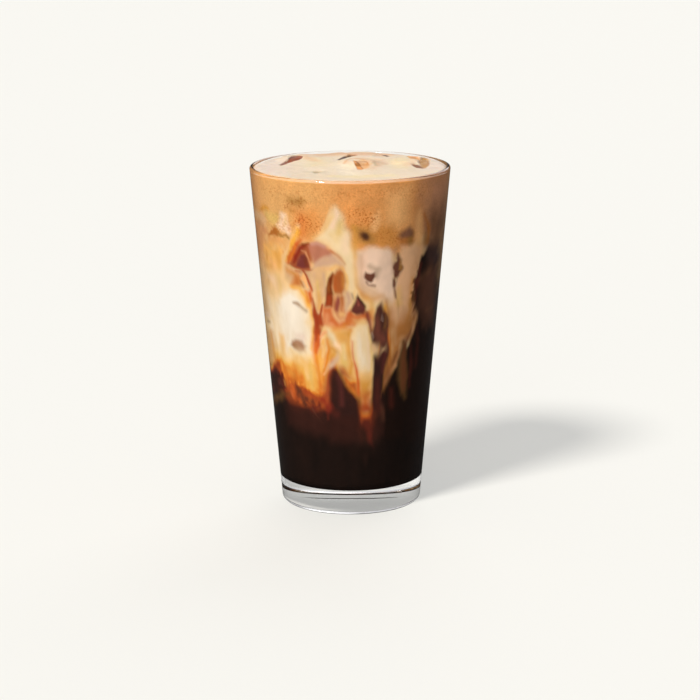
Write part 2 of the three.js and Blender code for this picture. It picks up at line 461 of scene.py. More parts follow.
def top_noise(layers, x, y):
    """Noise on the foam's surface, in millimetres from the axis."""
    return wall_noise(layers, x * TOP_NOISE_DEGREES + BACK_TURN, y + TOP_NOISE_START)


# Strokes

# Farther than anything, and a length that keeps divisions away from 0
FAR = 1e9
TINY = 1e-6


def line(paint, soft, *points, fade=1.0):
    """A tapering stroke through points of (turn, height, half width)."""
    return {"paint": paint, "soft": soft, "points": points, "fade": fade, "closed": False}


def area(paint, soft, *points, fade=1.0):
    """A filled outline through points of (turn, height)."""
    return {"paint": paint, "soft": soft, "points": points, "fade": fade, "closed": True}


def middle_of(stroke):
    points = stroke["points"]
    return sum(p[0] for p in points) / len(points)


def depth_in_line(u, v, points):
    """How deep points lie inside a tapering line, negative outside."""
    deepest = np.full(u.shape, -FAR)
    for (au, av, aw), (bu, bv, bw) in zip(points[:-1], points[1:]):
        du = bu - au
        dv = bv - av
        share = np.clip(((u - au) * du + (v - av) * dv) / (du * du + dv * dv), 0, 1)
        distance = np.hypot(u - au - share * du, v - av - share * dv)
        deepest = np.maximum(deepest, aw + share * (bw - aw) - distance)
    return deepest


def depth_in_area(u, v, points):
    """How deep points lie inside a closed outline, negative outside."""
    nearest = np.full(u.shape, FAR)
    inside = np.zeros(u.shape, bool)
    for (au, av), (bu, bv) in zip(points, points[1:] + points[:1]):
        du = bu - au
        dv = bv - av
        share = np.clip(((u - au) * du + (v - av) * dv) / (du * du + dv * dv), 0, 1)
        nearest = np.minimum(nearest, np.hypot(u - au - share * du, v - av - share * dv))
        if dv != 0:
            crosses = ((av > v) != (bv > v)) & (u < au + (v - av) * du / dv)
            inside ^= crosses
    return np.where(inside, nearest, -nearest)


# Millimetres on the wall for one degree
WALL_SCALE = 0.65
# How much softer the strokes' edges are than stated, and how ragged
SOFTENING = 1.5
RAGGED_DEPTH = 0.2
RAGGED_SHARE = 0.1

# Where the milk is torn into shreds, and how strongly
TORN = [
    line("torn", 8, (-82, 120, 8), (-56, 122, 10), (-42, 128, 6)),
    line("torn", 4, (-60, 58, 4), (-44, 56, 5), (-26, 52, 4)),
    line("torn", 3, (30, 115, 2), (30, 104, 1)),
    line("torn", 3, (46, 112, 2), (46, 96, 2), (49, 84, 3)),
]
TEARING = 3.0


class Canvas:
    """What is painted on a set of points: how much milk, and a colour that covers it.

    Places are the turn in degrees and the height on the wall, or x and y on the foam's surface.
    """

    def __init__(self, u, v, level, at_wall=False):
        self.u = u
        self.v = v
        self.level = level
        self.at_wall = at_wall
        self.tint = np.zeros((len(u), 3))
        self.cover = np.zeros(len(u))
        turn = u if at_wall else u * TOP_NOISE_DEGREES + BACK_TURN
        self.ragged = wall_noise(RAGGED_NOISE, turn, v)
        if at_wall:
            self.tear(wall_noise(SHRED_NOISE, turn, v))

    def tear(self, shreds):
        """Makes the edges of strokes rougher where the milk is torn."""
        self.ragged += TEARING * self.most_covered([*TORN, *back_strokes(TORN)]) * shreds

    def mask(self, stroke):
        """Indices of the points near a stroke, and how much it covers each of them."""
        points = stroke["points"]
        scale = WALL_SCALE if self.at_wall else 1
        middle = middle_of(stroke)
        local = [((p[0] - middle) * scale, *p[1:]) for p in points]
        off = turn_from(self.u, middle) if self.at_wall else self.u - middle
        off = off * scale
        widest = 0 if stroke["closed"] else max(p[2] for p in points)
        reach = widest + stroke["soft"]
        lows = [min(p[i] for p in local) - reach for i in (0, 1)]
        highs = [max(p[i] for p in local) + reach for i in (0, 1)]
        near = (off > lows[0]) & (off < highs[0]) & (self.v > lows[1]) & (self.v < highs[1])
        found = np.nonzero(near)[0]
        inside = depth_in_area if stroke["closed"] else depth_in_line
        depth = inside(off[found], self.v[found], local) + RAGGED_DEPTH * self.ragged[found]
        share = 0.5 + depth / (SOFTENING * stroke["soft"]) + RAGGED_SHARE * self.ragged[found]
        return found, stroke["fade"] * smooth(share)

    def most_covered(self, strokes):
        """How much the strokes cover each point, without painting them."""
        most = np.zeros(len(self.u))
        for stroke in strokes:
            found, mask = self.mask(stroke)
            most[found] = np.maximum(most[found], mask)
        return most

    def paint(self, stroke):
        found, mask = self.mask(stroke)
        paint = PAINTS[stroke["paint"]]
        if isinstance(paint, float):
            self.level[found] += (paint - self.level[found]) * mask
            self.tint[found] *= (1 - mask)[:, None]
            self.cover[found] *= 1 - mask
        else:
            self.tint[found] += (linear(paint) - self.tint[found]) * mask[:, None]
            self.cover[found] += (1 - self.cover[found]) * mask

    def paint_all(self, strokes):
        for stroke in strokes:
            self.paint(stroke)


# The wall's strokes. Those of one list are painted in order

# The foam at the wall, with the notches where ice touches the glass, and painted shade on its right side,
# away from the light
FOAM_STROKES = [
    area("light foam", 16, (-92, 154), (-14, 154), (-18, 112), (-92, 108), fade=0.9),
    area("pink tan", 9, (-92, 153), (-67, 153), (-65, 108), (-92, 108), fade=0.7),
    # Painted shade: these two areas darken the foam's right side, where it turns away from the light
    area("painted shade foam", 14, (46, 154), (100, 154), (100, 116), (46, 118)),
    area("umber", 12, (54, 134), (62, 137), (100, 138), (100, 110), (53, 112), fade=0.95),
    line("brown foam", 5, (30, 141, 1), (44, 138, 2), (48, 131, 1.5), fade=0.35),
    line("ochre", 1.8, (-69, 134.8, 0.6), (-64, 136.2, 1.2), (-58.5, 136.6, 0.8)),
    line("notch", 2, (-68, 135, 0.3), (-65, 135.8, 0.5), fade=0.5),
    line("ochre", 3, (-84, 136, 0.5), (-71, 134.4, 0.7), fade=0.5),
    area("yellow tan", 3, (-63, 134.4), (-49, 135.6), (-46, 132.6), (-51, 129.8), (-61, 131), fade=0.85),
    area("tan foam", 3, (-84, 134), (-68, 134), (-61, 131), (-62, 127.8), (-72, 130), (-84, 130)),
    line("grey brown", 2.4, (-77, 128.4, 0.5), (-69.5, 128.6, 1.2), (-66, 127, 0.6), fade=0.6),
    line("red tan", 2.4, (-80, 126, 0.6), (-70, 126.4, 0.9), (-62, 126, 0.6), fade=0.8),
    area("pink milk", 1.6, (-45.6, 136.6), (-41, 136), (-40.4, 131.4), (-38.2, 127.4), (-40.4, 126.4),
         (-44, 127.8), (-47.6, 129), (-51, 130.4), (-48, 132.6), (-47, 134.4)),
    line("light foam", 1.2, (-47, 134, 0.4), (-44, 132.8, 0.5), (-44.6, 130.4, 0.3), fade=0.7),
    line("yellow tan", 1.4, (-41.6, 134.6, 0.3), (-42.4, 131.6, 0.5), fade=0.5),
    line("olive", 2.8, (-37, 142.5, 1.2), (-31, 142, 1.7), (-28, 142.5, 0.8), fade=0.9),
    line("olive", 2, (-37.5, 138.3, 0.9), (-36, 138, 0.7), fade=0.8),
    area("orange foam", 7, (-36, 138), (-21, 139), (-18, 131), (-24, 125), (-34, 125), fade=0.9),
    line("red orange", 4, (-31, 136, 0.5), (-29.5, 131, 1), (-30, 127, 0.8), fade=0.45),
    area("orange foam", 5, (-3, 141), (13, 141), (15, 131), (1, 130), fade=0.45),
    area("golden brown", 5, (2, 130), (20, 133), (28, 134), (31, 128), (29, 122.4), (5, 122.4)),
    area("lit foam", 5, (22, 147), (37, 148), (38, 133), (31, 130.6), (23, 133), fade=0.85),
    line("lit foam", 2, (17, 139, 0.5), (16.4, 134.6, 2), (15, 131, 1.3)),
    line("lit foam", 3, (46, 136, 1), (46.6, 127, 2.2), (47, 119, 2), fade=0.75),
    line("olive", 3.4, (3.4, 130.6, 0.8), (8.6, 128.4, 2.6), (13.6, 127, 1), fade=0.9),
    line("olive", 3, (5, 125.6, 0.8), (12, 124.8, 1.2), fade=0.5),
    area("notch brown", 1.8, (5.8, 129), (8, 130), (10.4, 129.2), (12, 127.6), (11, 126), (8, 126),
         (6.4, 127.4), fade=0.8),
    area("sooty", 1.4, (7, 128.4), (8.4, 129.6), (10.4, 129.2), (11.2, 127.6), (10, 126.2), (8, 126.6),
         fade=0.75),
    area("notch", 2.6, (31, 126), (41.6, 128), (41.6, 120.6), (31, 121), fade=0.8),
    line("olive shade", 1.8, (39.6, 127.4, 1), (39.8, 122.4, 0.9), fade=0.95),
    area("window brown", 2.2, (31.2, 126.8), (33, 128.6), (36.4, 129.8), (38.8, 130.8), (40.8, 129),
         (41.2, 126), (37.6, 125.6), (33.6, 125.2), fade=0.95),
    line("notch", 1.8, (50.8, 134.6, 0.4), (54.4, 131, 0.8), (56.2, 127, 1), (55.6, 121.8, 1), fade=0.9),
    line("olive shade", 2.4, (52.6, 126, 0.6), (53, 122.4, 1.4), fade=0.7),
]

# Pale milk at the left
LEFT_STROKES = [
    area("red tan", 6, (-84, 126.6), (-62, 126.4), (-66, 118), (-84, 114), fade=0.8),
    area("orange foam", 4, (-61, 125.4), (-42, 124.8), (-43, 121), (-58, 121.4), fade=0.5),
    area("amber", 5, (-68, 120), (-48, 119.6), (-47, 109), (-68, 107.4)),
    line("lit foam", 2.6, (-61, 114.6, 0.8), (-57, 112.4, 1.4), (-58, 109.6, 1), fade=0.9),
    line("ochre", 2.4, (-53.4, 118, 1), (-51.4, 115.4, 1.2), (-51.4, 111, 0.6), fade=0.6),
    line("golden brown", 1.2, (-64.6, 117, 0.4), (-65.4, 113.4, 0.5), fade=0.7),
    line("golden brown", 2, (-70, 110, 0.6), (-60, 110.6, 0.5), fade=0.5),
    area("notch", 1.1, (-60.6, 125), (-57, 126.8), (-54.8, 128.4), (-53, 129.6), (-50.6, 127.8),
         (-47.4, 126.4), (-50, 125.4), (-54, 125)),
    line("olive", 1, (-49.4, 126, 0.5), (-46, 125.8, 0.7), (-42.4, 126.8, 0.6), (-39.4, 124.6, 0.5)),
    line("olive shade", 0.9, (-46, 125.4, 0.3), (-42, 126, 0.3), (-39.6, 124.6, 0.4), fade=0.8),
    line("brown foam", 1, (-40, 123.8, 0.4), (-42, 121.2, 0.4), (-46, 118.4, 0.3)),
    area("soft gold", 7, (-84, 108), (-46, 108), (-42, 103), (-50, 96), (-62, 93), (-84, 95)),
    line("pink milk", 2.6, (-66, 106.4, 0.6), (-60, 105, 1.6), (-57, 102, 0.8), fade=0.6),
    line("ochre", 4, (-76, 101.6, 1), (-67, 103, 1), fade=0.35),
    area("cream", 7, (-74, 98), (-54, 98), (-44, 90), (-50, 73), (-84, 75)),
    area("tan", 7, (-84, 112), (-70, 106), (-72, 88), (-86, 84), fade=0.7),
    area("milk", 6, (-56, 94), (-48, 102), (-38, 102.4), (-33, 98), (-29.6, 91), (-28.8, 83),
         (-31, 75), (-36, 71.6), (-50, 73.6), (-54, 82)),
    line("soft gold", 4, (-56, 102.6, 1), (-48, 102, 1.4), fade=0.6),
    line("yellow tan", 2, (-53, 107, 0.5), (-52, 102, 0.7), (-52.6, 98, 0.4), fade=0.5),
    line("grey", 1.5, (-40.6, 96, 0.5), (-38, 96, 1), (-35, 94.6, 0.7), (-31, 93.2, 0.6)),
    line("olive shade", 1.2, (-39, 96.2, 0.3), (-37, 95.8, 0.4), fade=0.3),
    line("lilac", 3, (-40, 81, 1), (-35, 81, 1.2), fade=0.6),
    area("grey brown", 1.8, (-46.2, 76.4), (-45, 78.4), (-41.8, 79.2), (-36.6, 79), (-32.6, 77),
         (-33.6, 74), (-39, 73.2), (-43.4, 74.6)),
    line("dim", 1.6, (-44.6, 76.8, 0.6), (-41, 75.8, 0.5), fade=0.5),
    line("lilac", 3, (-80, 87.5, 0.8), (-72, 87.5, 1), fade=0.6),
    line("grey", 1.4, (-77, 84, 0.5), (-71, 84.2, 0.6), fade=0.9),
    area("left tan", 5, (-84, 81), (-70, 79), (-69, 65), (-84, 63), fade=0.9),
    line("golden brown", 2.6, (-72.4, 79.4, 0.4), (-70.4, 73, 1.4), (-68.6, 66.5, 1.2), fade=0.75),
    line("rust", 1, (-72.6, 77.8, 0.2), (-71.4, 74.8, 0.5), (-70.6, 71, 0.2), fade=0.5),
    area("gold band", 2.6, (-59, 80.4), (-53.4, 80), (-53.6, 70), (-58.6, 69), fade=0.85),
    line("pale gold", 2.4, (-47, 74, 0.8), (-44, 70, 1), (-36, 71.4, 0.8), fade=0.8),
    line("left tan", 3, (-67, 80, 0.8), (-64, 74, 1.2), fade=0.5),
    line("olive dark", 3, (-86, 62.6, 0.6), (-75, 64.4, 0.6), fade=0.45),
]

# Where the milk at the left sinks into the coffee
LOWER_LEFT_STROKES = [
    area("gold", 5, (-68, 71), (-54, 70), (-38, 71), (-24, 72), (-20, 58), (-30, 55), (-38, 58),
         (-60, 62)),
    area("soft cream", 3.4, (-51, 74), (-33, 75), (-32.6, 69.6), (-38, 71.6), (-43, 69.4), (-50, 70.6),
         fade=0.8),
    line("pale gold", 3, (-42, 71, 1), (-36.6, 68.6, 1.4), (-33, 63, 1.2), fade=0.9),
    line("yellow tan", 2, (-30.4, 70, 0.6), (-30.6, 63, 1), (-29.6, 58.6, 0.8), fade=0.6),
    area("orange", 4, (-58, 67), (-52, 66), (-43, 66), (-38, 63), (-38.6, 58), (-57, 59)),
    line("ochre", 2.4, (-52, 64.6, 0.8), (-46, 63.6, 1), fade=0.6),
    area("rust", 2.6, (-76, 63.6), (-68, 66.6), (-61.4, 68), (-60, 63), (-58, 58.6), (-53, 60.4),
         (-45, 60.6), (-40, 58.8), (-36, 57), (-31, 56.6), (-25, 55.4), (-16, 56), (-15, 48),
         (-54, 49), (-76, 57)),
    line("orange", 2, (-56, 64, 0.8), (-55, 58.6, 0.9), (-54, 56, 0.4), fade=0.85),
    line("red orange", 2, (-51.4, 60, 0.6), (-50, 57, 1.4), (-48.6, 53.4, 0.9), fade=0.75),
    line("peach", 2, (-51, 58, 0.3), (-49, 53, 0.5), fade=0.15),
    line("dark rust", 2, (-44, 58, 0.6), (-42, 55.6, 1.3), (-39, 52.4, 1.5), (-36, 50, 1)),
    line("blood", 2.4, (-60, 53.6, 0.6), (-55, 52.6, 0.9), fade=0.6),
    line("dark rust", 2, (-43, 54, 1), (-36, 52.6, 1.2), (-30, 51.6, 1), fade=0.9),
    line("stream", 1.8, (-35, 56.2, 0.5), (-29, 54.6, 0.8), (-24, 53, 0.9), fade=0.7),
    line("orange", 2, (-25, 58, 1), (-22.4, 56, 1), fade=0.7),
    area("dark", 2.8, (-96, 59), (-78, 61), (-70, 62.6), (-64, 61), (-60.4, 59.6), (-58, 57),
         (-59.4, 53), (-68, 53), (-96, 54)),
    line("deep plum", 2.4, (-66, 57, 0.9), (-61, 57, 0.8), fade=0.7),
    line("wine", 3, (-60, 60, 0.6), (-58.4, 56, 1), (-59.6, 52, 0.8), fade=0.8),
    line("golden brown", 1, (-58, 58.8, 0.3), (-57, 56.8, 0.4), fade=0.5),
    line("olive dark", 3.4, (-100, 43.6, 0.3), (-90, 45.4, 1.2), (-76, 48.4, 1.7), (-62, 51.6, 1.4),
         (-54, 52.8, 0.5), fade=0.9),
    line("red brown", 3, (-56, 51, 0.6), (-46, 50, 0.8), fade=0.6),
    area("deep wash", 5, (-58, 50.6), (-40, 49.6), (-16, 50), (-16, 36), (-58, 39), fade=0.8),
    line("wine", 2.4, (-33.6, 51.4, 0.6), (-29.6, 49, 1.1), (-25, 50, 0.8)),
    line("dim brown", 0.5, (-33.6, 51.6, 0.25), (-29, 46.6, 0.2), (-23, 42.6, 0.12), fade=0.5),
]

# The red and orange curve left of the middle, round its plum window
CURVE_STROKES = [
    line("soft gold", 1.6, (-32.6, 131.4, 0.5), (-37.6, 125.4, 0.8), (-42.6, 119.8, 0.8),
         (-46, 114.4, 1.1), (-47, 108, 1.4)),
    line("gold edge", 1.8, (-33.6, 129.8, 0.8), (-36.6, 124.6, 1.2), (-40.2, 119.8, 1),
         (-43.6, 115, 0.8)),
    area("tan", 3, (-45.4, 112), (-38, 113), (-24, 113), (-24, 103), (-38, 104), (-46, 107.6)),
    line("golden brown", 2.4, (-44, 110.6, 0.6), (-38, 109.6, 1.2), (-36, 105.8, 1)),
    line("bright orange", 1.8, (-31.6, 129.4, 0.5), (-32.6, 125.6, 0.7), (-35.6, 121.8, 0.4), fade=0.55),
    area("curve brown", 1.2, (-43, 113.4), (-40, 116.6), (-35, 120.6), (-30.6, 124), (-26, 123),
         (-25, 117), (-26.6, 112.4), (-38, 112.4)),
    line("red orange", 1.4, (-31.4, 125, 0.4), (-34.6, 122.4, 1), (-38, 119.2, 1.5),
         (-41, 116.4, 1.4), (-42.8, 113.8, 0.6)),
    line("bright orange", 1, (-35.6, 121.6, 0.3), (-38.6, 118.6, 0.5), (-41.6, 115, 0.4), fade=0.7),
    line("gold edge", 1.2, (-33.6, 128, 0.3), (-35.2, 125.4, 0.7), (-37.6, 122.6, 0.3), fade=0.8),
    line("blood", 1.4, (-28.6, 123.2, 0.9), (-32.6, 120.9, 1.2), (-35.6, 118.2, 1), (-38, 115, 0.6)),
    line("groove", 1.1, (-27, 123.8, 0.3), (-30, 122.8, 0.8)),
    line("peach", 0.8, (-31.8, 120.4, 0.2), (-29, 119.8, 0.4), (-27, 117.2, 0.3), (-25.4, 114, 0.3),
         fade=0.7),
    line("stream", 1.8, (-26.6, 122.8, 0.6), (-25, 120.6, 0.9), (-24.6, 116.6, 0.7), fade=0.75),
    area("plum", 0.9, (-37, 113.2), (-35, 116), (-32.4, 118.8), (-29.8, 119.2), (-27.8, 116.8),
         (-26.8, 113.6), (-31.6, 112.9)),
    line("groove", 1.6, (-29.2, 117.2, 0.5), (-28.4, 114.6, 0.9), fade=0.6),
    line("loop", 1.2, (-34.6, 115.6, 0.3), (-33.4, 117.2, 0.4), fade=0.5),
    line("stream", 0.9, (-38.4, 113.2, 0.3), (-31, 112.2, 0.5), (-24.6, 112.6, 0.3), fade=0.8),
    line("peach", 1, (-42, 111.6, 0.5), (-37.6, 111.2, 0.4), fade=0.5),
    line("ellipse", 1.4, (-37, 111.4, 0.5), (-34, 111.2, 0.6), fade=0.9),
    area("brown foam", 2, (-41.6, 104.2), (-39, 107.4), (-35.6, 110), (-33.8, 108.2), (-34.4, 104.2)),
    line("stream", 2, (-37.6, 108.4, 0.4), (-36.6, 105.6, 0.5), fade=0.4),
    line("gold edge", 2.2, (-41.6, 103.6, 0.5), (-35, 103.2, 0.9), (-31.4, 100, 1.2), (-29.4, 95.6, 1)),
    line("notch", 0.9, (-34.4, 106.8, 0.4), (-32, 104.4, 0.4), fade=0.8),
    line("stream", 1, (-31.6, 111.8, 0.4), (-29.6, 109.8, 0.6), (-27.6, 106.4, 0.7), (-26, 103, 0.6)),
    area("lit foam", 0.8, (-34.2, 108), (-31.6, 110.8), (-30, 108.8), (-28.2, 104.4), (-29.6, 103.8),
         (-31.6, 106.6)),
    area("red orange", 1.6, (-30.2, 102.4), (-26.8, 104.4), (-25.4, 99.5), (-26.2, 96), (-28.8, 97.6)),
    line("bright orange", 1.6, (-30.6, 102.4, 0.5), (-29.4, 98.6, 0.8), (-27.6, 95.6, 0.4)),
    line("gold edge", 1.8, (-27.8, 95.6, 0.5), (-26.4, 91, 0.6), (-26, 86, 0.6), (-27.4, 81, 0.6),
         (-28.4, 76, 0.4)),
    line("stream", 1.3, (-26, 99.6, 0.5), (-24.6, 95.4, 0.9), (-23.6, 91, 1.3), (-22.6, 87.4, 1.8),
         (-24, 83.6, 1.5)),
    line("blood", 1.8, (-24, 94, 0.4), (-23, 89.6, 0.7), fade=0.6),
    line("pool", 1.4, (-20.6, 90.6, 0.3), (-20.4, 87, 0.6), (-21.4, 84.6, 0.4), fade=0.8),
    line("red orange", 2, (-24.2, 82.6, 1.2), (-25.2, 79, 1.4), (-25.6, 75.6, 0.9)),
    line("bright orange", 2.2, (-23.6, 78.4, 0.9), (-25.2, 74, 1.5), (-24.2, 67, 1.5), (-23, 60, 1.2)),
    line("gold edge", 2, (-21.6, 76, 0.6), (-22, 72.4, 1.1), (-21.6, 67, 0.7)),
    line("bright orange", 2.2, (-20.6, 78.6, 0.6), (-20.2, 73, 1), fade=0.7),
    line("red orange", 2, (-23.6, 61, 0.6), (-22, 57, 0.9), fade=0.5),
]

# The veil that hangs from the foam in the middle, and the windows in it
VEIL_STROKES = [
    area("soft cream", 3, (-8.4, 140.4), (-5.2, 137.8), (-3, 131), (0.8, 128), (1, 116),
         (0.2, 104), (-3, 112), (-6, 119), (-12, 124.6), (-21, 126.2), (-16.4, 130.2), (-12, 134.6)),
    line("gold band", 2, (-11, 136, 0.3), (-16, 130.5, 0.7), (-23, 127, 0.5), fade=0.7),
    area("pink milk", 1.2, (-8.4, 139.4), (-6.6, 138.4), (-8.6, 134), (-9.6, 131), (-12, 131.6),
         (-10.6, 135)),
    line("yellow tan", 2.4, (-6, 134, 0.9), (-7, 129.4, 1.3), fade=0.8),
    line("yellow tan", 2, (-12, 128.6, 0.6), (-8, 126, 0.9), fade=0.4),
    line("pink milk", 2, (-2, 127.6, 0.8), (-2.6, 121, 1.1), fade=0.6),
    area("pale veil", 2, (-23, 119), (-12, 121), (-4.4, 115.6), (-4, 112.6), (-9, 115), (-14, 114),
         (-24, 113)),
    line("tan", 1.4, (-20, 117.6, 0.4), (-15, 117.4, 0.8), fade=0.4),
    area("veil", 1.6, (-27, 122.6), (-21, 124.4), (-15, 123.6), (-10.6, 120.8), (-13.4, 119),
         (-19.6, 117.6), (-23.4, 115.6), (-24.4, 118)),
    line("mauve", 1.6, (-24, 123.8, 0.5), (-20, 124.2, 0.9), (-16, 123, 0.6), fade=0.9),
    line("peach", 1.4, (-13.4, 122.6, 0.5), (-10, 120.6, 0.5), fade=0.6),
    line("ellipse", 1, (-12, 121.6, 0.3), (-8.4, 119.4, 0.6), (-6, 117.4, 0.5), (-4, 115.4, 0.4),
         fade=0.65),
    line("peach", 1.8, (-17.4, 112.6, 0.6), (-14, 112.8, 0.6), fade=0.5),
    area("strip", 1.5, (-24.6, 112.6), (-20, 112.6), (-15.8, 112.4), (-16.8, 104), (-18.4, 96),
         (-20.8, 89.6), (-22.2, 93), (-24.8, 102)),
    line("pale veil", 1.2, (-23.8, 111, 0.5), (-24, 107, 0.5), fade=0.6),
    line("yellow tan", 1.6, (-21.6, 107, 0.6), (-21.4, 102, 0.8), (-20.8, 95, 0.4)),
    line("foam", 2, (-21.4, 102, 0.5), (-21, 94.6, 0.8), fade=0.7),
    line("pale veil", 1.2, (-17.2, 110, 0.7), (-16.8, 105, 0.5), (-17.8, 100.6, 0.4), fade=0.8),
    line("stream", 1.5, (-24.4, 93, 0.6), (-22.2, 88.8, 2.2), (-22.6, 84.6, 2), (-24.4, 80.6, 1.2)),
    line("blood", 2, (-23.4, 91, 0.4), (-22.4, 87, 0.7), fade=0.5),
    area("pool", 2, (-18.6, 95.8), (-11.6, 96), (-10.6, 92.4), (-7.4, 89.8), (-4.4, 90),
         (-2.4, 93), (0.6, 95), (2, 92.6), (12.6, 94), (13, 91), (8.4, 90.2), (3, 87.4),
         (-3, 86.8), (-10, 86.4), (-19.6, 86.6)),
    line("peach", 2.6, (-15.4, 92, 0.8), (-16, 88.4, 0.9), (-13, 88, 0.8), fade=0.85),
    line("stream", 1.6, (-20.6, 91, 0.8), (-20, 87.4, 1.2), (-21.2, 84, 0.8)),
    line("stream", 0.8, (-18.8, 96.4, 0.3), (-20.6, 91, 0.4)),
    line("bright orange", 2, (-4, 88.6, 0.6), (2, 88.6, 0.8), fade=0.5),
    area("groove", 1.1, (-11.8, 111.4), (-10.4, 110.6), (-10.6, 107.8), (-11.6, 105), (-11, 95.8),
         (-17, 96), (-16.6, 100), (-15.6, 105), (-14.2, 108.8)),
    line("stream", 1.8, (-14.4, 100, 0.7), (-14.6, 97, 1.2)),
    line("notch", 1, (-14.2, 106.6, 0.3), (-14.2, 102.4, 0.4), fade=0.5),
    line("gold edge", 1.1, (-12.6, 112.6, 0.3), (-9.4, 114.4, 0.5), (-5.6, 114, 0.5), (-2.8, 110, 0.5),
         (-2.4, 106.4, 0.4), (-3.6, 102, 0.4), fade=0.65),
    area("ellipse", 1.2, (-11, 110.6), (-9, 112.8), (-6.6, 113.2), (-4.4, 111.4), (-3.4, 107.6),
         (-4, 103.6), (-5.8, 101.4), (-10.6, 101.4), (-11.6, 105)),
    line("red orange", 1.6, (-9.6, 109, 0.4), (-10, 104, 0.8), fade=0.4),
    line("ochre", 1.4, (-5, 110, 0.4), (-4.6, 105, 0.5), fade=0.5),
    area("rim tan", 1, (-12, 100.6), (-11.4, 95), (-9.8, 91.8), (-6.8, 90.2), (-4.4, 90.6),
         (-3, 94), (-4.2, 100.4)),
    line("loop", 0.9, (-8.2, 99.8, 0.6), (-8.6, 97, 1.1), (-8.8, 94.6, 0.6)),
    line("ellipse", 1, (-6.2, 100, 0.5), (-5.4, 96.8, 0.4), (-5.8, 94.6, 0.2), fade=0.8),
    line("ellipse", 0.9, (-10.8, 98.6, 0.4), (-10.4, 95.6, 0.3), fade=0.5),
    line("gold band", 1.4, (-6.4, 92.8, 0.6), (-4.6, 92.6, 0.4)),
    line("pale veil", 1.8, (-2.4, 102, 0.7), (-1.4, 98, 1.2), (-2.4, 95, 0.5)),
    line("grey", 0.9, (0.2, 101.8, 0.4), (1.2, 99.4, 0.4), fade=0.8),
    line("ochre", 2, (2.4, 132, 0.6), (2.8, 125, 1.1), (3.2, 119, 0.9), fade=0.8),
    line("gold band", 1.7, (3.4, 119, 0.6), (3.4, 112, 1), (4, 106, 1.1), (8, 101.6, 0.9),
         (13, 98, 1), (15, 94, 1)),
    line("ochre", 1.2, (4.6, 104.6, 0.4), (7.6, 102, 0.6), fade=0.6),
    area("deep plum", 1, (4.2, 101.2), (7.4, 99), (10, 96.6), (10.6, 94.4), (9, 92.8), (4.4, 92.4),
         (0.6, 93.6), (1.2, 96), (2.6, 99)),
    line("sooty", 0.7, (3.4, 100, 0.4), (4.4, 100.4, 0.4), (7.4, 98.4, 0.4), (9.8, 96, 0.3), fade=0.8),
    # Painted highlight inside the plum window
    line("loop", 0.8, (4.2, 98.8, 0.3), (5.2, 97.2, 0.4), fade=0.7),
    line("red orange", 1.8, (1.6, 92.4, 0.4), (5, 91.4, 0.7), (8.4, 91.6, 0.5), fade=0.8),
]

